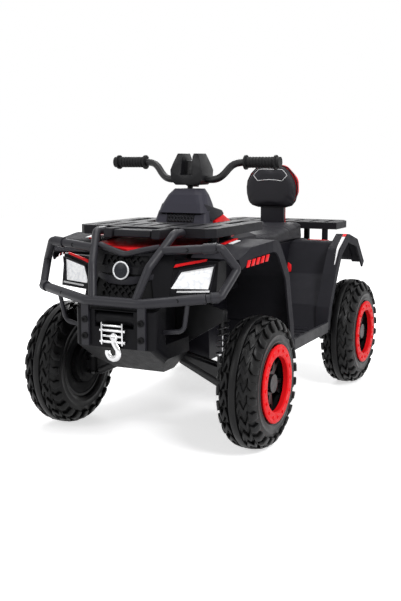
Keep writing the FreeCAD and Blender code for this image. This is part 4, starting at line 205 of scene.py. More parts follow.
def inZone(tree, coords, limits):  # 1 inside the stated ranges of x, y and z, and 0 outside
    parts = addNode(tree, "ShaderNodeSeparateXYZ", {"Vector": coords})
    inside = 1.0
    for axis, side, limit in limits:
        test = calc(tree, "GREATER_THAN" if side == "above" else "LESS_THAN", parts.outputs[axis], limit)
        inside = calc(tree, "MULTIPLY", inside, test)
    return inside


moulding = {
    "zones": (), "zoneShade": 0.88,
    "rubScale": 4.3, "rubDetail": 5.0, "rubRough": 0.65,
    "smoother": 0.07, "rougher": 0.08,
    "waveNoise": (42.0, 1.0), "waveHeight": 0.0012, "grainHeight": 0.0003,
    "coat": 0.0, "coatRough": 0.12, "metal": 0.0,
}


def mouldedFinish(name, ownLook):
    look = dict(moulding, **ownLook)
    finish, tree, shader, coords = startFinish(name)
    patches = noiseOn(tree, coords, look["patch"])
    darker, lighter = (shaded(look["colour"], share) for share in (1 - look["mottle"], 1 + look["mottle"]))
    colour = tint(tree, patches, darker, lighter)
    for zone in look["zones"]:
        other = tint(tree, patches, shaded(look["zoneColour"], look["zoneShade"]), look["zoneColour"])
        levels = {"Fac": inZone(tree, coords, zone), "Color1": colour, "Color2": other}
        colour = addNode(tree, "ShaderNodeMixRGB", levels).outputs["Color"]
    rubbed = noiseOn(tree, coords, look["patch"] * look["rubScale"], look["rubDetail"], look["rubRough"])
    worn = spread(tree, rubbed, look["rough"] - look["smoother"], look["rough"] + look["rougher"])
    wave = raised(tree, noiseOn(tree, coords, *look["waveNoise"]), look["ripple"], look["waveHeight"])
    skin = raised(tree, cellsOn(tree, coords, look["grain"]), look["grainDepth"], look["grainHeight"], wave)
    setSockets(tree, shader, {
        "Base Color": colour, "Roughness": worn, "Normal": skin, "Specular IOR Level": look["gloss"],
        "Coat Weight": look["coat"], "Coat Roughness": look["coatRough"], "Metallic": look["metal"],
    })
    return finish


lookFields = ("colour", "mottle", "patch", "rough", "ripple", "grain", "grainDepth", "gloss", "metal", "coat")
lookRows = {
    "bodyBlack": ((0.0115, 0.0112, 0.0152), 0.12, 7.0, 0.44, 0.05, 1500.0, 0.2, 0.15),
    "linerBlack": ((0.007, 0.007, 0.0076), 0.15, 9.0, 0.62, 0.05, 1100.0, 0.25, 0.1),
    "bumperBlack": ((0.022, 0.0216, 0.0265), 0.1, 8.0, 0.4, 0.04, 1700.0, 0.16, 0.24),
    "rackBlack": ((0.0118, 0.0116, 0.0142), 0.12, 10.0, 0.56, 0.05, 1300.0, 0.24, 0.13),
    "podBlack": ((0.0085, 0.0085, 0.0098), 0.12, 12.0, 0.36, 0.05, 1600.0, 0.18, 0.19),
    "rimBlack": ((0.009, 0.009, 0.0096), 0.15, 14.0, 0.33, 0.04, 1900.0, 0.08, 0.17),
    "panelRed": ((0.82, 0.009, 0.013), 0.05, 6.0, 0.4, 0.04, 2200.0, 0.04, 0.18),
    "ringRed": ((0.84, 0.009, 0.013), 0.05, 12.0, 0.44, 0.04, 2000.0, 0.06, 0.08),
    "powderSteel": ((0.011, 0.011, 0.012), 0.14, 16.0, 0.38, 0.12, 1200.0, 0.14, 0.3),
    "zincSteel": ((0.5, 0.5, 0.51), 0.2, 45.0, 0.32, 0.06, 900.0, 0.08, 0.5, 1.0),
    "winchChrome": ((0.56, 0.56, 0.57), 0.12, 30.0, 0.16, 0.08, 900.0, 0.03, 0.5, 1.0),
    "gripBlack": ((0.009, 0.009, 0.0098), 0.16, 24.0, 0.66, 0.06, 800.0, 0.4, 0.22),
    "springDark": ((0.035, 0.035, 0.037), 0.2, 40.0, 0.34, 0.05, 1300.0, 0.1, 0.5, 0.6),
    "stripeWhite": ((0.82, 0.82, 0.83), 0.05, 30.0, 0.38, 0.03, 1800.0, 0.05, 0.5),
    "ringSilver": ((0.78, 0.79, 0.81), 0.08, 60.0, 0.3, 0.05, 1200.0, 0.05, 0.5, 0.15),
    "badgeDark": ((0.012, 0.014, 0.02), 0.12, 40.0, 0.24, 0.05, 1500.0, 0.06, 0.2, 0.0, 0.04),
}
looks = {name: dict(zip(lookFields, row)) for name, row in lookRows.items()}
body, red = looks["bodyBlack"], looks["panelRed"]
looks.update(
    backShellRed=dict(red, zoneColour=body["colour"], zones=[[("X", "above", -0.463), ("Z", "below", 0.612)]]),
    tankRed=dict(red, zoneColour=body["colour"],
                 zones=[[("Y", "above", -0.052), ("Y", "below", 0.052), ("Z", "above", 0.53)],
                        [("Z", "below", 0.549)]]),
    frontBlack=dict(body, colour=(0.0052, 0.0051, 0.0064), gloss=0.09),
    # the near-black zone on the cover's front, behind the vent mesh, is painted shade in the vent's opening
    coverBlack=dict(body, colour=(0.034, 0.033, 0.0455), zoneColour=(0.0015, 0.0015, 0.0016),
                    zones=[[("Y", "above", -0.043), ("Y", "below", 0.043), ("X", "above", 0.255),
                            ("Z", "above", 0.5935), ("Z", "below", 0.6165)]]),
    # a darker copy of the body black for the footwells: painted shade inside the footwells
    floorBlack=dict(body, colour=(0.0088, 0.0086, 0.0115)),
    fenderBlack=dict(body, colour=(0.0175, 0.0172, 0.021), rough=0.66, gloss=0.09),
    meshBlack=dict(body, colour=(0.05, 0.05, 0.056)),
)
finishes = {name: mouldedFinish(name, look) for name, look in looks.items()}

tyreRubber = {
    "colour": (0.0056, 0.0056, 0.0061), "dust": (0.0115, 0.0113, 0.0111),
    "dustNoise": (21.0, 6.0, 0.7), "dustFrom": (0.42, 0.8),
    "rough": (0.29, 0.49),
    "lumpNoise": (130.0, 3.0), "lumpHeight": (0.16, 0.0012),
    "poreNoise": (1500.0, 2.0), "poreHeight": (0.22, 0.0004),
    "gloss": 0.17,
}


def rubberFinish(name, look):
    finish, tree, shader, coords = startFinish(name)
    dust = noiseOn(tree, coords, *look["dustNoise"])
    colour = tint(tree, dust, look["colour"], look["dust"], *look["dustFrom"])
    lumps = raised(tree, noiseOn(tree, coords, *look["lumpNoise"]), *look["lumpHeight"])
    pores = raised(tree, noiseOn(tree, coords, *look["poreNoise"]), *look["poreHeight"], lumps)
    worn = spread(tree, dust, *look["rough"])
    setSockets(tree, shader, {
        "Base Color": colour, "Roughness": worn, "Normal": pores, "Specular IOR Level": look["gloss"],
    })
    return finish


# lens facets tinted from bright to shade are painted facet shading, and the emission is painted light that brightens
# the lens
lampLens = {
    "bright": (0.9, 0.91, 0.93), "shade": (0.55, 0.57, 0.61), "shadeFrom": (0.25, 0.8),
    "facet": 105.0, "facetDepth": 0.6, "facetHeight": 0.004,
    "rough": 0.12, "coatRough": 0.04, "paintedGlow": 0.42,
}


def lampFinish(name, look):
    finish, tree, shader, coords = startFinish(name)
    facets = cellsOn(tree, coords, look["facet"])
    colour = tint(tree, facets, look["bright"], look["shade"], *look["shadeFrom"])
    # painted facet shading on the lens, plus a painted glow
    cut = raised(tree, facets, look["facetDepth"], look["facetHeight"])
    setSockets(tree, shader, {
        "Base Color": colour, "Normal": cut, "Roughness": look["rough"], "Coat Weight": 1.0,
        "Coat Roughness": look["coatRough"], "Emission Color": (1.0, 1.0, 1.0, 1), "Emission Strength": look["paintedGlow"],
    })
    return finish


padVinyl = {
    "colour": (0.0118, 0.0115, 0.0145), "worn": (0.018, 0.0176, 0.0215), "wornFrom": (0.35, 0.8),
    "patchNoise": (9.0, 4.0),
    "rough": (0.42, 0.56),
    "creaseNoise": (60.0, 5.0, 0.6), "creaseDepth": 0.12, "creaseHeight": 0.0012,
    "grain": 520.0, "grainDepth": 0.35, "grainHeight": 0.0006,
    "gloss": 0.2,
}


def vinylFinish(name, look):
    finish, tree, shader, coords = startFinish(name)
    patches = noiseOn(tree, coords, *look["patchNoise"])
    colour = tint(tree, patches, look["colour"], look["worn"], *look["wornFrom"])
    folds = noiseOn(tree, coords, *look["creaseNoise"])
    creases = raised(tree, folds, look["creaseDepth"], look["creaseHeight"])
    grain = cellsOn(tree, coords, look["grain"], "DISTANCE_TO_EDGE")
    skin = raised(tree, grain, look["grainDepth"], look["grainHeight"], creases)
    worn = spread(tree, patches, *look["rough"])
    setSockets(tree, shader, {
        "Base Color": colour, "Roughness": worn, "Normal": skin, "Specular IOR Level": look["gloss"],
    })
    return finish


finishes["tyreBlack"] = rubberFinish("tyreBlack", tyreRubber)
finishes["lampClear"] = lampFinish("lampClear", lampLens)
finishes["padVinyl"] = vinylFinish("padVinyl", padVinyl)
print("finishes ready")


def finished(piece, finishName, degrees=None):  # edges sharper than the angle stay crisp
    pick(piece)
    if degrees is None:
        bpy.ops.object.shade_smooth()
    else:
        bpy.ops.object.shade_smooth_by_angle(angle=math.radians(degrees))
    piece.data.materials.clear()
    piece.data.materials.append(finishes[finishName])
    return piece


def completed(piece, finishName, degrees):
    applyAll(piece)
    outward(piece)
    return finished(piece, finishName, degrees)


def fixed(piece, body="chassis"):
    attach(piece, body)
    return piece


# studio

studio = {
    "camera": (2.632, 1.213, 0.775), "lookAt": (0.1379, 0.0, 0.3449),
    "lens": 54.86, "near": 0.05, "far": 60,
    "worldColour": (1.0, 1.0, 1.0), "worldLight": 0.15,
    "floorSize": 14,
    "floorColour": (0.88, 0.88, 0.89), "floorShade": 0.985,
    "floorNoise": (3.0, 2.0), "floorRough": 0.9, "floorGloss": 0.1,
    "lift": (0.66, 1.0),  # towards white, by the object and far from it
    "liftFrom": (0.7, 2.3),
    "lampAim": (0, 0, 0.35),
    "lamps": [
        ("keyLamp", (1.7, 2.6, 2.7), 1.2, 86.0),
        ("frontLamp", (3.2, -1.6, 1.9), 1.1, 20.0),
        ("topLamp", (0.0, 0.0, 3.2), 1.8, 51.0),
        ("backLamp", (-2.6, -1.4, 2.2), 1.4, 44.0),
    ],
}


def aimed(name, data, place, target):
    thing = bpy.data.objects.new(name, data)
    bpy.context.scene.collection.objects.link(thing)
    thing.location = place
    thing.rotation_euler = (Vector(target) - Vector(place)).to_track_quat("-Z", "Y").to_euler()
    return thing


def seenRays(tree):  # 1 for rays that look at the background straight, in a reflection or through glass
    rays = tree.nodes.new("ShaderNodeLightPath")
    seen = rays.outputs["Is Camera Ray"]
    for kind in ("Is Glossy Ray", "Is Transmission Ray"):
        seen = calc(tree, "MAXIMUM", seen, rays.outputs[kind])
    return seen


def paperFinish(name, look):
    finish, tree, shader, coords = startFinish(name)
    soft = noiseOn(tree, coords, *look["floorNoise"])
    pale = tint(tree, soft, shaded(look["floorColour"], look["floorShade"]), look["floorColour"])
    away = addNode(tree, "ShaderNodeVectorMath", {0: coords})
    away.operation = "LENGTH"
    paler = spread(tree, away.outputs["Value"], *look["lift"], *look["liftFrom"])
    paintedGlow = calc(tree, "MULTIPLY", seenRays(tree), paler)
    setSockets(tree, shader, {
        "Base Color": pale, "Roughness": look["floorRough"], "Specular IOR Level": look["floorGloss"],
        "Emission Color": (1.0, 1.0, 1.0, 1), "Emission Strength": paintedGlow,
    })
    return finish


def setUpStudio(look):
    lens = bpy.data.cameras.new("photoCamera")
    lens.lens = look["lens"]
    lens.clip_start = look["near"]
    lens.clip_end = look["far"]
    bpy.context.scene.camera = aimed("photoCamera", lens, look["camera"], look["lookAt"])

    world = bpy.data.worlds.new("paleRoom")
    bpy.context.scene.world = world
    world.use_nodes = True
    tree = world.node_tree
    light = look["worldLight"]
    strength = calc(tree, "MULTIPLY_ADD", seenRays(tree), 1.0 - light, light)
    setSockets(tree, tree.nodes["Background"], {"Color": (*look["worldColour"], 1), "Strength": strength})

    bpy.ops.mesh.primitive_plane_add(size=look["floorSize"], location=(0, 0, 0))
    floor = settled("studioFloor")
    floor.data.materials.append(paperFinish("paleFloor", look))

    for name, place, size, power in look["lamps"]:
        lamp = bpy.data.lights.new(name, "AREA")
        lamp.size = size
        lamp.energy = power
        aimed(name, lamp, place, look["lampAim"])
    bpy.context.scene.view_settings.view_transform = "Standard"


setUpStudio(studio)
print("studio ready")


# CAD nodes that stay: finish and softened edges

wheels = [(end, side) for end in ("front", "rear") for side in ("left", "right")]
nodeLooks = {
    "bodyBlack": ["center_tub", "tail_panel", "pedal", "control_box", "battery", "direction_switch"],
    # the footwells take the darker black with painted shade
    "floorBlack": ["footwells"],
    "fenderBlack": ["front_fenders", "rear_fenders"],
    "frontBlack": ["front_fascia", "front_lower_housing"],
    "coverBlack": ["column_cover"],
    "linerBlack": ["grille_mesh", "rear_motors", "front_knuckle_left", "front_knuckle_right"],
    "bumperBlack": ["bumper_lower_bar", "bumper_uprights", "bumper_side_loops"],
    "rackBlack": ["front_rack", "rear_rack"],
    "rimBlack": [end + "_rim_" + side for end, side in wheels],
    "panelRed": ["hood_panel", "start_button"],
    "backShellRed": ["backrest_shell"],
    "tankRed": ["tank_cover"],
    "ringRed": [end + "_ring_" + side for end, side in wheels],
    "powderSteel": ["chassis_frame", "swing_arm", "front_arm_left", "front_arm_right", "tie_rod_left", "tie_rod_right",
                    "steering_column", "shock_bodies"],
    "zincSteel": ["rear_axle", "front_shock_rod_left", "front_shock_rod_right", "rear_shock_rods"],
    "gripBlack": ["grips"],
    "lampClear": ["headlight_lenses"],
}
softEdges = {  # radius in millimetres
    "front_fascia": 2.0, "front_fenders": 2.0, "rear_fenders": 2.0, "front_lower_housing": 2.0, "column_cover": 2.0,
    "tank_cover": 2.0, "front_rack": 1.5, "rear_rack": 1.5, "footwells": 1.2, "center_tub": 2.0, "tail_panel": 2.0,
    "hood_panel": 1.2, "backrest_shell": 1.5, "pedal": 0.8, "bumper_lower_bar": 0.8,
}


def dressNode(name, finishName):
    node = nodes[name]
    node.data.materials.clear()
    node.data.materials.append(finishes[finishName])
    if name in softEdges:
        weld = node.modifiers.new("joinCorners", "WELD")
        weld.merge_threshold = weldDistance
        rounded(node, softEdges[name] / 1000, degrees=28)  # to metres


for finishName, members in nodeLooks.items():
    for member in members:
        dressNode(member, finishName)
print("nodes dressed")


# tyres: one is modelled round the origin with its outer side towards +y, and copied to the four wheels

tyreShape = {
    "side": [(0.1, 0.044), (0.104, 0.0495), (0.1085, 0.0516), (0.112, 0.0527), (0.1134, 0.0537), (0.1166, 0.0537),
             (0.118, 0.0527), (0.128, 0.0526), (0.1294, 0.0535), (0.1316, 0.0535), (0.133, 0.0524), (0.1405, 0.0506),
             (0.1485, 0.0468), (0.157, 0.0426), (0.163, 0.0368), (0.1674, 0.0292), (0.1703, 0.02), (0.1711, 0.0118),
             (0.1726, 0.0102), (0.1788, 0.0092), (0.18, 0.0072)],
    "turnSteps": 120, "lugCount": 24,
    "arrow": [(0.1706, 0.0124, 2.6), (0.17, 0.0192, -5.4), (0.1676, 0.0282, 3.4), (0.1642, 0.0344, -3.4)],
    "arrowTurn": 7.4,
    "shoulder": [(0.1642, 0.0344, 5.6), (0.1576, 0.0418, 9.6), (0.149, 0.0462, 9.2), (0.1425, 0.0488, 9.2)],
    "shoulderTurn": 7.8,
    "lugSteps": 3, "lugHeight": 0.0092, "lugBevel": 0.0021,
}


def chain(name, points):  # a line of edges through the points
    bpy.ops.mesh.primitive_plane_add(size=0.001, location=points[0])
    piece = settled(name)
    edit()
    bpy.ops.mesh.merge(type="CENTER")  # the first point
    for before, after in zip(points, points[1:]):
        step = Vector(after) - Vector(before)
        bpy.ops.mesh.extrude_vertices_move(TRANSFORM_OT_translate={"value": step})
    editDone()
    return piece


def spinAll(piece, steps, angle, copies=False):
    pick(piece)
    edit()
    bpy.ops.mesh.spin(steps=steps, angle=angle, center=(0, 0, 0), axis=(0, 1, 0), dupli=copies)
    bpy.ops.mesh.select_all(action="SELECT")
    bpy.ops.mesh.remove_doubles(threshold=spinDistance)
    editDone()


def flipIfInward(piece, sideShare=0.4):  # faces that look at the axle are turned over
    facing = 0
    for face in piece.data.polygons:
        away = Vector((face.center.x, face.center.y * sideShare, face.center.z))
        facing += face.normal.dot(away) * face.area
    if facing < 0:
        pick(piece)
        edit()
        bpy.ops.mesh.flip_normals()
        editDone()


def treadLug(name, points, turn, shape):
    placed = []
    for radius, across, degrees in points:
        angle = math.radians(degrees)
        placed.append((radius * math.sin(angle), across, radius * math.cos(angle)))
    lug = chain(name, placed)
    spinAll(lug, shape["lugSteps"], math.radians(turn))
    flipIfInward(lug)
    thickened(lug, shape["lugHeight"], 1.0)
    rounded(lug, shape["lugBevel"])
    applyAll(lug)
    pitch = 2 * math.pi / shape["lugCount"]
    spinAll(lug, shape["lugCount"] - 1, 2 * math.pi - pitch, True)
    return lug


def mirroredCopy(piece, name, turn=0.0):
    twin = copied(piece, name)
    pick(twin)
    edit()
    bpy.ops.transform.resize(value=(1, -1, 1), center_override=(0, 0, 0))
    bpy.ops.mesh.flip_normals()
    if turn:
        bpy.ops.transform.rotate(value=turn, orient_axis="Y", center_override=(0, 0, 0))
    editDone()
    return twin


def joined(pieces, name):
    clearSelection()
    for piece in pieces:
        piece.select_set(True)
    bpy.context.view_layer.objects.active = pieces[0]
    bpy.ops.object.join()
    return named(name)


def otherSide(points):  # the same line on the right, walked back
    return [(x, -y, z) for x, y, z in reversed(points)]


def atX(x, line):
    return [(x, across, up) for across, up in line]


def modelTyre(shape):
    half = [(0.0, across, radius) for radius, across in shape["side"]]
    carcass = chain("tyreCarcass", half + otherSide(half))
    spinAll(carcass, shape["turnSteps"], 2 * math.pi)
    flipIfInward(carcass)
    lugs = [treadLug("treadArrow", shape["arrow"], shape["arrowTurn"], shape),
            treadLug("treadShoulder", shape["shoulder"], shape["shoulderTurn"], shape)]
    halfPitch = math.pi / shape["lugCount"]
    lugs += [mirroredCopy(lug, lug.name + "Inner", halfPitch) for lug in lugs]
    return finished(joined([carcass] + lugs, "tyre"), "tyreBlack", 38)


backDiscShape = {
    "profile": [(0.0933, -0.0395), (0.0895, -0.0422), (0.078, -0.0418), (0.066, -0.0396), (0.0605, -0.037),
                (0.0592, -0.032)],
    "turnSteps": 72, "thick": 0.0026, "worn": 0.0007,
}


def modelBackDisc(shape):  # closes the wheel's inner side around the hub
    disc = chain("backDisc", [(0.0, across, radius) for radius, across in shape["profile"]])
    spinAll(disc, shape["turnSteps"], 2 * math.pi)
    thickened(disc, shape["thick"])
    rounded(disc, shape["worn"])
    return completed(disc, "linerBlack", 38)


wheelPlaces = {"front": 0.4, "rear": -0.44, "left": 0.3, "right": -0.3, "height": 0.18}


def placeOnWheels(model, label, replaced=None):
    models = {"left": model, "right": mirroredCopy(model, model.name + "Right")}
    for end, side in wheels:
        piece = copied(models[side], end + side.capitalize() + label)
        piece.location = (wheelPlaces[end], wheelPlaces[side], wheelPlaces["height"])
        settle(piece)
        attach(piece, end + "_wheel_" + side)
        if replaced:
            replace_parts(piece, end + "_" + replaced + "_" + side)
    for model in models.values():
        bpy.data.objects.remove(model)


placeOnWheels(modelTyre(tyreShape), "Tyre", "tyre")
placeOnWheels(modelBackDisc(backDiscShape), "BackDisc")
print("tyres ready")


# springs: one coil is modelled and copied to the four shocks

springShape = {
    "radius": 0.0155,
    "wire": 0.00225, "wireSides": 10,
    "turns": 5, "turnSteps": 28,
    "low": 0.25, "high": 0.338,
    "spots": [("frontLeftSpring", 0.4, 0.196, "arm_left"), ("frontRightSpring", 0.4, -0.196, "arm_right"),
              ("rearLeftSpring", -0.42, 0.15, "swing"), ("rearRightSpring", -0.42, -0.15, "swing")],
}


def modelSpring(shape):
    bpy.ops.mesh.primitive_circle_add(vertices=shape["wireSides"], radius=shape["wire"],
                                      location=(shape["radius"], 0, 0), rotation=(math.pi / 2, 0, 0))
    spring = settled("springCoil")
    screw = spring.modifiers.new("coil", "SCREW")
    screw.angle = shape["turns"] * 2 * math.pi
    screw.screw_offset = shape["high"] - shape["low"] - 2 * shape["wire"]
    screw.steps = shape["turns"] * shape["turnSteps"]
    screw.render_steps = screw.steps
    applyAll(spring)
    edit("DESELECT")
    bpy.ops.mesh.select_non_manifold()
    bpy.ops.mesh.fill_holes(sides=0)
    editDone()
    return completed(spring, "springDark", 50)


def placeSprings(model, shape):
    for name, x, y, arm in shape["spots"]:
        spring = copied(model, name)
        spring.location = (x, y, shape["low"] + shape["wire"])
        settle(spring)
        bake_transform(spring)
        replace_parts(spring, "shock_springs")
    bpy.data.objects.remove(model)


placeSprings(modelSpring(springShape), springShape)
print("springs ready")


# soft pads: the seat and the backrest pad are blown up as cloth, then get their channels and piping

seatShape = {
    "low": 0.4946, "front": -0.052, "rear": -0.441,
    "halfWidth": 0.1195, "noseHalfWidth": 0.0915,
    "middle": -0.17, "frontTop": 0.529, "middleTop": 0.525, "rearTop": 0.549,
    "round": 0.015, "cap": 0.0055,
    "channels": (-0.13, -0.32), "channelDepth": 0.0026, "channelWidth": 0.0045, "channelFrom": 0.022,
    "heldBelow": 0.004, "voxel": 0.005, "cuts": 11,
}
padding = {"quality": 5, "pressure": 4.0, "frames": 20, "evenFactor": 0.5, "evenRounds": 7}


def blownUp(piece, voxel, cap, held):  # held says which points stay where they are
    even = piece.modifiers.new("evenMesh", "REMESH")
    even.mode = "VOXEL"
    even.voxel_size = voxel
    applyAll(piece)
    start = [point.co.copy() for point in piece.data.vertices]
    group = piece.vertex_groups.new(name="held")
    group.add([point.index for point in piece.data.vertices if held(point.co)], 1.0, "REPLACE")
    cloth = piece.modifiers.new("padding", "CLOTH")
    cloth.settings.quality = padding["quality"]
    cloth.settings.use_pressure = True
    cloth.settings.uniform_pressure_force = padding["pressure"]
    cloth.settings.effector_weights.gravity = 0.0
    cloth.settings.vertex_group_mass = "held"
    for step in range(1, padding["frames"] + 1):
        bpy.context.scene.frame_set(step)
    applyAll(piece)
    bpy.context.scene.frame_set(1)
    for point, before in zip(piece.data.vertices, start):
        move = point.co - before
        if move.length > cap:
            point.co = before + move * (cap / move.length)
    piece.vertex_groups.clear()
    even = piece.modifiers.new("even", "SMOOTH")
    even.factor = padding["evenFactor"]
    even.iterations = padding["evenRounds"]
    finer(piece)
    applyAll(piece)


def between(value, low, high):
    return min(1.0, max(0.0, (value - low) / (high - low)))


def cutBlock(name, shape, aside, width):  # a block from rear to front, cut up to be shaped
    middle = (shape["front"] + shape["rear"]) / 2
    bpy.ops.mesh.primitive_cube_add(size=1, location=(middle, aside, 0.5))
    block = settled(name, (shape["front"] - shape["rear"], width, 1))
    edit()
    bpy.ops.mesh.subdivide(number_cuts=shape["cuts"])
    editDone()
    return block


def profileAt(shape, x):  # the share of the way from the middle to the front, and the top there
    ahead = between(x, shape["middle"], shape["front"])
    behind = between(x, shape["middle"], shape["rear"])
    top = shape["middleTop"] + (shape["frontTop"] - shape["middleTop"]) * ahead
    return ahead, top + (shape["rearTop"] - shape["middleTop"]) * behind


def finishedPad(pad, node):
    finished(pad, "padVinyl")
    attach(pad, "chassis")
    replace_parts(pad, node)


def modelSeat(shape):
    seat = cutBlock("seatPad", shape, 0, 2)
    for point in seat.data.vertices:
        ahead, top = profileAt(shape, point.co.x)
        point.co.y *= shape["halfWidth"] + (shape["noseHalfWidth"] - shape["halfWidth"]) * ahead
        point.co.z = shape["low"] + (top - shape["low"]) * point.co.z
    rounded(seat, shape["round"], 4, 60)
    applyAll(seat)
    blownUp(seat, shape["voxel"], shape["cap"], lambda place: place.z < shape["low"] + shape["heldBelow"])
    for point in seat.data.vertices:
        if point.co.z < shape["low"] + shape["channelFrom"]:
            continue
        for channel in shape["channels"]:
            off = (point.co.x - channel) / shape["channelWidth"]
            point.co.z -= shape["channelDepth"] * math.exp(-off * off)
    finishedPad(seat, "seat")


def asCurve(line):
    pick(line)
    bpy.ops.object.convert(target="CURVE")
    return bpy.context.active_object


def asTube(line, name, radius, sideSteps, capped, finishName):
    line.data.bevel_depth = radius
    line.data.bevel_resolution = sideSteps
    line.data.use_fill_caps = capped
    bpy.ops.object.convert(target="MESH")
    return completed(named(name), finishName, 50)


laying = {"cuts": 5, "beadSteps": 3, "standShare": 0.3}  # a laid piece stands off by this share of its thickness


def laidOn(piece, target, mode, thick):
    laid = piece.modifiers.new("laid", "SHRINKWRAP")
    laid.target = target
    laid.wrap_method = "NEAREST_SURFACEPOINT"
    laid.wrap_mode = mode
    laid.offset = thick * laying["standShare"]
    return laid


# a round bead along a line of points
def loopTube(name, points, radius, finishName, wrapOn=None, closed=True):
    line = chain(name, points + points[:1] if closed else points)
    edit()
    bpy.ops.mesh.remove_doubles(threshold=loopDistance)
    bpy.ops.mesh.select_all(action="SELECT")
    bpy.ops.mesh.subdivide(number_cuts=laying["cuts"])
    editDone()
    if wrapOn is not None:
        laidOn(line, wrapOn, "OUTSIDE_SURFACE", radius)
        applyAll(line)
    return asTube(asCurve(line), name, radius, laying["beadSteps"], not closed, finishName)


backPadShape = {
    "rear": -0.4497, "front": -0.4305,
    "outline": [(0.0815, 0.607), (0.0938, 0.648), (0.0925, 0.694), (0.0535, 0.7478)],
    "round": 0.021, "roundSteps": 6,
    "cap": 0.006, "heldBehind": 0.003, "voxel": 0.004,
    "pipingOutline": [(0.0, 0.6035), (0.052, 0.6038), (0.0755, 0.6105), (0.0885, 0.626), (0.0955, 0.65),
                      (0.0968, 0.672), (0.094, 0.695), (0.081, 0.721), (0.058, 0.7435), (0.03, 0.751), (0.0, 0.7518)],
    "pipingPlace": -0.4478, "piping": 0.0021,
    "patch": [(-0.0645, 0.7165), (-0.047, 0.7365), (-0.024, 0.7395), (0.0, 0.7402), (0.024, 0.7395), (0.047, 0.7365),
              (0.0645, 0.7165), (0.046, 0.6965), (0.022, 0.7), (0.0, 0.7008), (-0.022, 0.7), (-0.046, 0.6965)],
    "patchEdge": 0.0009, "patchAhead": 0.004,
}


def modelBackPad(shape):
    half = atX(shape["rear"], shape["outline"])
    pad = chain("backrestPad", half + otherSide(half))
    edit()
    bpy.ops.mesh.edge_face_add()
    bpy.ops.mesh.bevel(offset=shape["round"], segments=shape["roundSteps"], affect="VERTICES")
    bpy.ops.mesh.select_all(action="SELECT")
    thick = shape["front"] - shape["rear"]
    bpy.ops.mesh.extrude_region_move(TRANSFORM_OT_translate={"value": (thick, 0, 0)})
    editDone()
    outward(pad)
    blownUp(pad, shape["voxel"], shape["cap"], lambda place: place.x < shape["rear"] + shape["heldBehind"])
    finishedPad(pad, "backrest_pad")
    half = atX(shape["pipingPlace"], shape["pipingOutline"])
    line = half + otherSide(half[1:-1])
    fixed(loopTube("backrestPiping", line, shape["piping"], "padVinyl"))
    front = atX(shape["front"] + shape["patchAhead"], shape["patch"])
    fixed(loopTube("backrestPatchEdge", front, shape["patchEdge"], "stripeWhite", wrapOn=pad))


modelSeat(seatShape)
modelBackPad(backPadShape)
print("pads ready")


# trim: thin strips and beads on the body, modelled on the left side and mirrored

# a strip between two lines of points
def ribbon(name, low, high, thick, finishName, worn=0.0006, layOn=None, drop=0.0):
    strip = chain(name, low)
    edit()
    rise = Vector((0, 0, 0.01))
    bpy.ops.mesh.extrude_edges_move(TRANSFORM_OT_translate={"value": rise})
    editDone()
    for point in list(strip.data.vertices)[len(low):]:  # each new point goes to the place above its own start
        starts = [(point.co - rise - Vector(place)).length for place in low]
        point.co = high[starts.index(min(starts))]
    if layOn is not None:  # the strip follows the surface of a node
        edit()
        bpy.ops.mesh.subdivide(number_cuts=laying["cuts"])
        editDone()
        laid = laidOn(strip, nodes[layOn], "ABOVE_SURFACE", thick)
        if drop:  # it falls straight down on it
            for point in strip.data.vertices:
                point.co.z += drop
            laid.wrap_method = "PROJECT"
            laid.use_project_z = True
            laid.use_negative_direction = True
            laid.use_positive_direction = False
        applyAll(strip)
    thickened(strip, thick)
    rounded(strip, worn)
    return completed(strip, finishName, 35)


def onBothSides(piece):
    twin = mirroredCopy(piece, piece.name + "Right")
    fixed(piece)
    fixed(twin)


flareMarks = {
    "count": 5,
    "first": [(0.4735, 0.2942, 0.4965), (0.4585, 0.2967, 0.4972), (0.4505, 0.2981, 0.5155), (0.4655, 0.2956, 0.5148)],
    "step": (-0.0225, 0.0038, 0.0018),
    "thick": 0.0016, "worn": 0.0004,
}


def modelFlareMarks(shape):
    lowFront, lowRear, highRear, highFront = (Vector(corner) for corner in shape["first"])
    first = ribbon("flareMark", [lowFront, lowRear], [highFront, highRear], shape["thick"], "panelRed", shape["worn"])
    places = [Vector(shape["step"]) * place for place in range(shape["count"])]
    onBothSides(copiesAt(first, places, "flareMarks"))
    bpy.data.objects.remove(first)


lampTrim = {
    "browLow": [(0.56, 0.128, 0.497), (0.5485, 0.159, 0.5045), (0.538, 0.192, 0.5112), (0.5325, 0.21, 0.5155)],
    "browHigh": [(0.5572, 0.133, 0.506), (0.5465, 0.164, 0.5125), (0.5372, 0.195, 0.5182), (0.532, 0.211, 0.5212)],
    "stripLow": [(0.572, 0.123, 0.4335), (0.5575, 0.172, 0.435), (0.5425, 0.222, 0.437)],
    "stripHigh": [(0.5705, 0.123, 0.438), (0.556, 0.172, 0.4395), (0.5412, 0.222, 0.4415)],
    "thick": 0.004,
    "rimLine": [(0.5665, 0.1225, 0.441), (0.5545, 0.1445, 0.489), (0.5285, 0.2305, 0.506), (0.5345, 0.219, 0.441)],
    "rimRadius": 0.0028,
}


def modelLampTrim(shape):
    onBothSides(ribbon("lampBrow", shape["browLow"], shape["browHigh"], shape["thick"], "panelRed"))
    onBothSides(ribbon("lampStrip", shape["stripLow"], shape["stripHigh"], shape["thick"], "stripeWhite"))
    onBothSides(loopTube("lampRim", shape["rimLine"], shape["rimRadius"], "bodyBlack"))


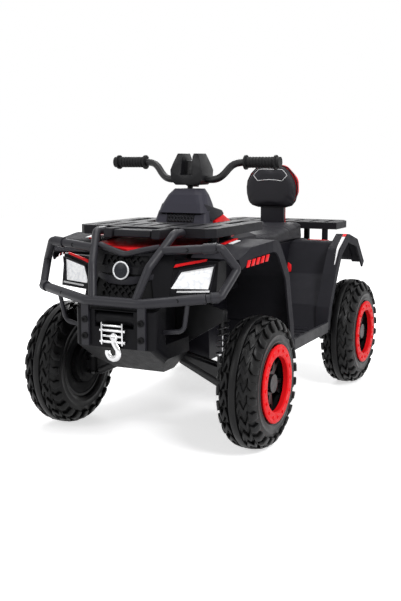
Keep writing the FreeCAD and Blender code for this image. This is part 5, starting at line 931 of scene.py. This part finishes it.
grilleTrim = {
    "brow": [(0.563, -0.09, 0.5485), (0.5795, -0.046, 0.5395), (0.5865, -0.012, 0.531), (0.5875, 0.0, 0.529)],
    "browRadius": 0.0085,
    "bandLow": [(0.5855, -0.083, 0.4665), (0.6085, -0.034, 0.4535), (0.61, 0.0, 0.4515)],
    "bandHigh": [(0.5815, -0.083, 0.4805), (0.602, -0.034, 0.4735), (0.603, 0.0, 0.4735)],
    "bandThick": 0.006, "bandWorn": 0.0014,
    "badgePlace": (0.6092, 0.0, 0.489), "badgeLean": 0.12,
    "ringRadius": 0.0222, "ringWire": 0.0023, "ringFlat": 0.8, "ringSteps": 64, "wireSteps": 12,
    "faceRadius": 0.0205, "faceSides": 48, "faceDome": 0.0018,
    "faceRise": (0.35, 0.3, 0.25), "faceInset": 0.28, "faceThick": 0.001,
}


def modelGrilleTrim(shape):
    brow, low, high = (shape[part] + otherSide(shape[part][:-1]) for part in ("brow", "bandLow", "bandHigh"))
    fixed(loopTube("grilleBrow", brow, shape["browRadius"], "bumperBlack", closed=False))
    fixed(ribbon("grilleBand", low, high, shape["bandThick"], "bodyBlack", shape["bandWorn"]))
    lean = (0, math.pi / 2 - shape["badgeLean"], 0)
    bpy.ops.mesh.primitive_torus_add(major_radius=shape["ringRadius"], minor_radius=shape["ringWire"],
                                     major_segments=shape["ringSteps"], minor_segments=shape["wireSteps"],
                                     location=shape["badgePlace"], rotation=lean)
    ring = settled("badgeRing")
    edit()
    bpy.ops.transform.resize(value=(shape["ringFlat"], 1, 1), center_override=shape["badgePlace"])
    editDone()
    fixed(finished(ring, "ringSilver"))
    bpy.ops.mesh.primitive_circle_add(vertices=shape["faceSides"], radius=shape["faceRadius"], fill_type="NGON",
                                      location=shape["badgePlace"], rotation=lean)
    face = settled("badgeFace")
    edit()
    for share in shape["faceRise"]:
        bpy.ops.mesh.inset(thickness=shape["faceRadius"] * shape["faceInset"])
        bpy.ops.transform.translate(value=(shape["faceDome"] * share, 0, 0))
    editDone()
    thickened(face, shape["faceThick"], -1.0)
    fixed(completed(face, "badgeDark", 40))


fenderTrim = {
    "stripeLine": [(-0.2425, 0.4325), (-0.2575, 0.4568), (-0.2695, 0.4765), (-0.2755, 0.4838), (-0.312, 0.503),
                   (-0.343, 0.519)],
    "stripeIn": (0.3012, 0.2998, 0.2985, 0.2978, 0.2955, 0.2945),
    "stripeOut": (0.3034, 0.3046, 0.3056, 0.306, 0.306, 0.306),
    "thick": 0.0018, "worn": 0.0004,
    "deckShare": 1.6, "deckDrop": 0.03,
    "tongueThick": 0.003,
    "tailMark": [(-0.345, 0.52), (-0.3625, 0.529)],
    "rearPatch": [(-0.364, 0.509), (-0.384, 0.507), (-0.404, 0.505)],
    "rearPatchSides": (0.168, 0.23),
    "frontRed": [(0.43, 0.5595), (0.385, 0.5632), (0.34, 0.5669)],
    "frontRedSides": (0.2, 0.213),
    "frontWhite": [(0.42, 0.5603), (0.392, 0.5627), (0.366, 0.5648)],
    "frontWhiteSides": (0.219, 0.231),
    "tongueLow": [(-0.2955, 0.116, 0.388), (-0.2958, 0.133, 0.394)],
    "tongueHigh": [(-0.3125, 0.116, 0.424), (-0.3095, 0.129, 0.415)],
}


def along(line, across):
    return [(x, across, z) for x, z in line]


def modelFenderTrim(shape):
    thick, worn, deckThick = shape["thick"], shape["worn"], shape["thick"] * shape["deckShare"]
    inner = [(x, y, z) for (x, z), y in zip(shape["stripeLine"], shape["stripeIn"])]
    outer = [(x, y, z) for (x, z), y in zip(shape["stripeLine"], shape["stripeOut"])]
    onBothSides(ribbon("rearStripe", inner, outer, thick, "stripeWhite", worn, "rear_fenders"))
    mark = ribbon("rearStripeEnd", along(shape["tailMark"], shape["stripeIn"][-1]),
                  along(shape["tailMark"], shape["stripeOut"][-1]), thick, "panelRed", worn, "rear_fenders")
    onBothSides(mark)
    for name, part, finishName, slot, node, drop in (
            ("rearDeckPanel", "rearPatch", "panelRed", "red_plastic", "rear_fenders", shape["deckDrop"]),
            ("frontDeckPanel", "frontRed", "panelRed", "red_plastic", "front_fenders", 0.0),
            ("frontDeckStripe", "frontWhite", "stripeWhite", "black_plastic", "front_fenders", 0.0)):
        inner, outer = (along(shape[part], across) for across in shape[part + "Sides"])
        onBothSides(ribbon(name, inner, outer, deckThick, finishName, layOn=node, drop=drop))
    tongue = ribbon("tubTongue", shape["tongueLow"], shape["tongueHigh"], shape["tongueThick"], "panelRed")
    onBothSides(tongue)


barBolt = {
    "radius": 0.0056, "height": 0.0045, "sides": 18,
    "rimInset": 0.2, "rise": 0.0008,
    "socketInset": 0.3, "socket": 0.0022,
    "places": [(0.5688, 0.172, 0.5455), (0.6255, 0.172, 0.4225), (0.5575, 0.244, 0.5505)],
    "plateGrow": 1.55, "plateInset": 0.0065,
}


def copiesAt(model, places, name):
    copies = [copied(model, name) for place in places]
    for copy, place in zip(copies, places):
        copy.location = place
        settle(copy)
    return joined(copies, name)


def modelBarBolts(shape):
    bpy.ops.mesh.primitive_cylinder_add(vertices=shape["sides"], radius=shape["radius"], depth=shape["height"],
                                        location=(0, 0, 0), rotation=(0, math.pi / 2, 0))
    bolt = settled("barBolt")
    edit("DESELECT")
    editDone()
    for face in bolt.data.polygons:
        face.select = face.normal.x > 0.9  # the end that looks ahead
    bpy.ops.object.mode_set(mode="EDIT")
    bpy.ops.mesh.inset(thickness=shape["radius"] * shape["rimInset"])
    bpy.ops.transform.translate(value=(shape["rise"], 0, 0))
    bpy.ops.mesh.inset(thickness=shape["radius"] * shape["socketInset"])
    bpy.ops.mesh.extrude_region_move(TRANSFORM_OT_translate={"value": (-shape["socket"], 0, 0)})
    editDone()
    completed(bolt, "linerBlack", 35)
    onBothSides(copiesAt(bolt, shape["places"], "barBolts"))
    bolt.scale = (1, shape["plateGrow"], shape["plateGrow"])
    settle(bolt)
    low, high = (Vector(corner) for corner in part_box("bumper_bolts"))
    inset = shape["plateInset"]
    middle = low.x + shape["height"] / 2
    places = [(middle, y, z) for y in (low.y + inset, high.y - inset) for z in (low.z + inset, high.z - inset)]
    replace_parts(fixed(copiesAt(bolt, places, "plateBolts")), "bumper_bolts")
    bpy.data.objects.remove(bolt)


def wedge(name, front, rear, rounding, finishName):  # corners: low inner, low outer, high outer, high inner
    bpy.ops.mesh.primitive_cube_add(size=1)
    block = named(name)
    order = {(False, False): 0, (True, False): 1, (True, True): 2, (False, True): 3}
    for point in block.data.vertices:
        ends = front if point.co.x > 0 else rear
        point.co = ends[order[point.co.y > 0, point.co.z > 0]]
    if rounding:
        rounded(block, rounding, 3, 30)
    return completed(block, finishName, 35)


barShape = {
    "line": [(0.178, 0.266, 0.764), (0.178, 0.205, 0.764), (0.178, 0.166, 0.764), (0.179, 0.145, 0.764),
             (0.184, 0.122, 0.757), (0.19, 0.104, 0.731), (0.195, 0.083, 0.7145), (0.196, 0.055, 0.714),
             (0.196, 0.02, 0.716)],
    "radius": 0.0106, "sideSteps": 6, "curveOrder": 4, "curveSteps": 8,
}


def modelBar(shape):  # one tube in a flowing bend from grip to grip
    line = asCurve(chain("bentBar", shape["line"] + otherSide(shape["line"])))
    bpy.ops.object.mode_set(mode="EDIT")
    bpy.ops.curve.select_all(action="SELECT")
    bpy.ops.curve.spline_type_set(type="NURBS")
    editDone()
    for spline in line.data.splines:
        spline.order_u = shape["curveOrder"]
        spline.use_endpoint_u = True
    line.data.resolution_u = shape["curveSteps"]
    bar = asTube(line, "bentBar", shape["radius"], shape["sideSteps"], True, "powderSteel")
    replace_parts(fixed(bar, "steering"), "handlebar")


podShape = {
    "middle": 0.196, "depth": 0.084,
    "outline": [(0.0, 0.6985), (0.037, 0.6985), (0.0495, 0.712), (0.051, 0.742), (0.0455, 0.76), (0.0335, 0.7895),
                (0.0185, 0.7895), (0.0135, 0.77), (0.0, 0.768)],
    "taper": [(0.6985, 0.8), (0.72, 1.0), (0.74, 0.97), (0.7895, 0.62)],
    "channelFront": [(0.262, -0.0205, 0.7245), (0.262, 0.0205, 0.7245), (0.262, 0.0165, 0.81),
                     (0.262, -0.0165, 0.81)],
    "channelRear": [(0.2095, -0.0175, 0.7285), (0.2095, 0.0175, 0.7285), (0.202, 0.0135, 0.81),
                    (0.202, -0.0135, 0.81)],
    "round": 0.004,
}


def modelPod(shape):  # display pod with two horns and a deep channel between them
    half = atX(shape["middle"] - shape["depth"] / 2, shape["outline"])
    pod = chain("barPod", half + otherSide(half[1:-1]) + half[:1])
    edit()
    bpy.ops.mesh.remove_doubles(threshold=loopDistance)
    bpy.ops.mesh.select_all(action="SELECT")
    bpy.ops.mesh.edge_face_add()
    bpy.ops.mesh.extrude_region_move(TRANSFORM_OT_translate={"value": (shape["depth"], 0, 0)})
    editDone()
    for point in pod.data.vertices:
        share = shape["taper"][0][1]
        for (low, lowShare), (high, highShare) in zip(shape["taper"], shape["taper"][1:]):
            if point.co.z >= low:
                share = lowShare + (highShare - lowShare) * between(point.co.z, low, high)
        point.co.x = shape["middle"] + (point.co.x - shape["middle"]) * share
    outward(pod)
    cutter = wedge("podChannel", shape["channelFront"], shape["channelRear"], 0, "podBlack")
    cut = pod.modifiers.new("channel", "BOOLEAN")
    cut.operation = "DIFFERENCE"
    cut.object = cutter
    applyAll(pod)
    bpy.data.objects.remove(cutter)
    rounded(pod, shape["round"], 3, 28)
    applyAll(pod)
    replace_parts(fixed(finished(pod, "podBlack", 35), "steering"), "handlebar_pod")


coverShoulder = {
    "front": [(0.252, 0.055, 0.596), (0.252, 0.0925, 0.596), (0.252, 0.07, 0.646), (0.252, 0.055, 0.648)],
    "rear": [(0.176, 0.055, 0.613), (0.176, 0.0965, 0.6145), (0.176, 0.09, 0.6255), (0.176, 0.055, 0.628)],
    "round": 0.003,
}
rackNose = {  # the front and the rear end of each block: x below and above, inner and outer side, low and high
    "middle": [(0.553, 0.549, -0.056, 0.056, 0.571, 0.5895), (0.476, 0.476, -0.056, 0.056, 0.57, 0.589)],
    "clamp": [(0.557, 0.553, 0.06, 0.085, 0.567, 0.5925), (0.474, 0.474, 0.06, 0.085, 0.567, 0.5925)],
    "link": [(0.541, 0.541, 0.05, 0.066, 0.572, 0.586), (0.476, 0.476, 0.05, 0.066, 0.57, 0.586)],
    "round": 0.0034,
}


def modelShoulders(shape):
    onBothSides(wedge("coverShoulder", shape["front"], shape["rear"], shape["round"], "bodyBlack"))


def rackBlock(name, part, shape):
    ends = []
    for below, above, inner, outer, low, high in shape[part]:
        ends.append([(below, inner, low), (below, outer, low), (above, outer, high), (above, inner, high)])
    return wedge(name, *ends, shape["round"], "rackBlack")


def modelRackNose(shape):  # the rack's middle reaches forward between two clamp lugs
    pieces = [rackBlock("rackNose", "middle", shape)]
    for part in ("clamp", "link"):
        lug = rackBlock("rackLug", part, shape)
        pieces += [lug, mirroredCopy(lug, "rackLugRight")]
    fixed(joined(pieces, "rackNose"))


coverVent = {"centre": (0.2716, 0.0, 0.605), "width": 0.082, "height": 0.022, "lean": 0.437, "wire": 0.0038,
             "columns": 8, "rows": 2}


def modelCoverVent(shape):
    bpy.ops.mesh.primitive_grid_add(x_subdivisions=shape["rows"], y_subdivisions=shape["columns"], size=1,
                                    location=shape["centre"], rotation=(0, math.pi / 2 - shape["lean"], 0))
    vent = settled("coverVent", (shape["height"], shape["width"], 1))
    edit()
    bpy.ops.mesh.poke()
    bpy.ops.mesh.select_all(action="DESELECT")
    editDone()
    wires = vent.modifiers.new("wires", "WIREFRAME")
    wires.thickness = shape["wire"]
    wires.use_even_offset = False
    applyAll(vent)
    outward(vent)
    vent.data.materials.append(finishes["meshBlack"])
    fixed(vent)


winchShape = {
    "plateSide": 0.0305, "plateThick": 0.0045, "plateDepth": 0.013,
    "plateAbove": 0.006, "plateBelow": 0.003, "plateWorn": 0.0012,
    "rollerWorn": 0.0008, "rollerAhead": 0.55, "rollerSides": 20,
    "rollers": [(0.96, 0.0035, 0.028), (0.7, 0.0042, 0.038), (0.4, 0.0036, 0.028), (0.1, 0.0042, 0.038)],
    "hookLine": [(0.003, 0.322), (0.0035, 0.308), (0.0085, 0.2985), (0.0155, 0.289), (0.0168, 0.278), (0.0112, 0.2685),
                 (0.001, 0.265), (-0.0095, 0.2685), (-0.0152, 0.278), (-0.0145, 0.287)],
    "hookRadius": 0.0094, "hookFlat": 0.72,
    "eyeRadius": 0.0085, "eyeWire": 0.0036, "eyeAside": 0.003, "eyeHeight": 0.321, "eyeSteps": 32, "wireSteps": 12,
}


def wornBlock(name, worn, scale=(1, 1, 1)):
    block = settled(name, scale)
    edit()
    bpy.ops.mesh.bevel(offset=worn, segments=2)
    editDone()
    return block


def modelFairlead(shape):
    low, high = (Vector(corner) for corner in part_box("winch_fairlead"))
    depth, above, below = shape["plateDepth"], shape["plateAbove"], shape["plateBelow"]
    plate = (depth, shape["plateThick"], high.z - low.z + above + below)
    parts = []
    for side in (1, -1):
        middle = (low.x + depth / 2, side * shape["plateSide"], (low.z + high.z) / 2 + (above - below) / 2)
        bpy.ops.mesh.primitive_cube_add(size=1, location=middle)
        parts.append(wornBlock("fairleadPlate", shape["plateWorn"], plate))
    for share, radius, reach in shape["rollers"]:
        place = (low.x + depth * shape["rollerAhead"], 0, low.z + (high.z - low.z) * share)
        bpy.ops.mesh.primitive_cylinder_add(vertices=shape["rollerSides"], radius=radius, depth=2 * reach,
                                            location=place, rotation=(math.pi / 2, 0, 0))
        parts.append(wornBlock("fairleadRoller", shape["rollerWorn"]))
    fairlead = finished(joined(parts, "winchFairlead"), "winchChrome", 35)
    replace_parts(fixed(fairlead), "winch_fairlead")


def modelHook(shape):
    low, high = (Vector(corner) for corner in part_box("winch_hook"))
    centre = (low + high) / 2
    line = atX(centre.x, shape["hookLine"])
    body = loopTube("hookBody", line, shape["hookRadius"], "winchChrome", closed=False)
    pick(body)
    edit()
    bpy.ops.transform.resize(value=(shape["hookFlat"], 1, 1), center_override=centre)
    editDone()
    bpy.ops.mesh.primitive_torus_add(major_radius=shape["eyeRadius"], minor_radius=shape["eyeWire"],
                                     major_segments=shape["eyeSteps"], minor_segments=shape["wireSteps"],
                                     location=(centre.x, shape["eyeAside"], shape["eyeHeight"]),
                                     rotation=(0, math.pi / 2, 0))
    eye = settled("hookEye")
    hook = joined([body, eye], "winchHook")
    finer(hook)
    applyAll(hook)
    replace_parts(fixed(finished(hook, "winchChrome")), "winch_hook")


tankShoulder = {
    "front": 0.226, "rear": 0.03,
    "inner": 0.054, "outerLow": 0.1035, "outerHigh": 0.094,
    "low": 0.552, "frontTop": 0.602,
    "middle": 0.176, "middleTop": 0.624, "rearTop": 0.556,
    "crownDrop": 0.16, "crownPlace": 0.9,
    "cuts": 7, "round": 0.011,
}


def modelTankShoulder(shape):
    flank = cutBlock("tankShoulder", shape, 0.5, 1)
    for point in flank.data.vertices:
        top = profileAt(shape, point.co.x)[1]
        outer = shape["outerLow"] + (shape["outerHigh"] - shape["outerLow"]) * point.co.z
        crown = 1 - shape["crownDrop"] * (2 * point.co.y - shape["crownPlace"]) ** 2
        point.co.y = shape["inner"] + (outer - shape["inner"]) * point.co.y
        point.co.z = shape["low"] + (top - shape["low"]) * point.co.z * crown
    rounded(flank, shape["round"], 4, 50)
    onBothSides(completed(flank, "panelRed", 40))


barSleeve = {"radius": 0.0146, "low": [(0.5765, 0.2655, 0.4318), (0.5815, 0.2565, 0.431), (0.5865, 0.2475, 0.43)]}


def modelBarSleeves(shape):
    onBothSides(loopTube("barSleeveLow", shape["low"], shape["radius"], "bumperBlack", closed=False))


modelFairlead(winchShape)
modelHook(winchShape)
modelTankShoulder(tankShoulder)
modelBarSleeves(barSleeve)
modelFlareMarks(flareMarks)
modelLampTrim(lampTrim)
modelGrilleTrim(grilleTrim)
modelFenderTrim(fenderTrim)
modelBarBolts(barBolt)
modelCoverVent(coverVent)
modelBar(barShape)
modelPod(podShape)
modelShoulders(coverShoulder)
modelRackNose(rackNose)
print("trim ready")
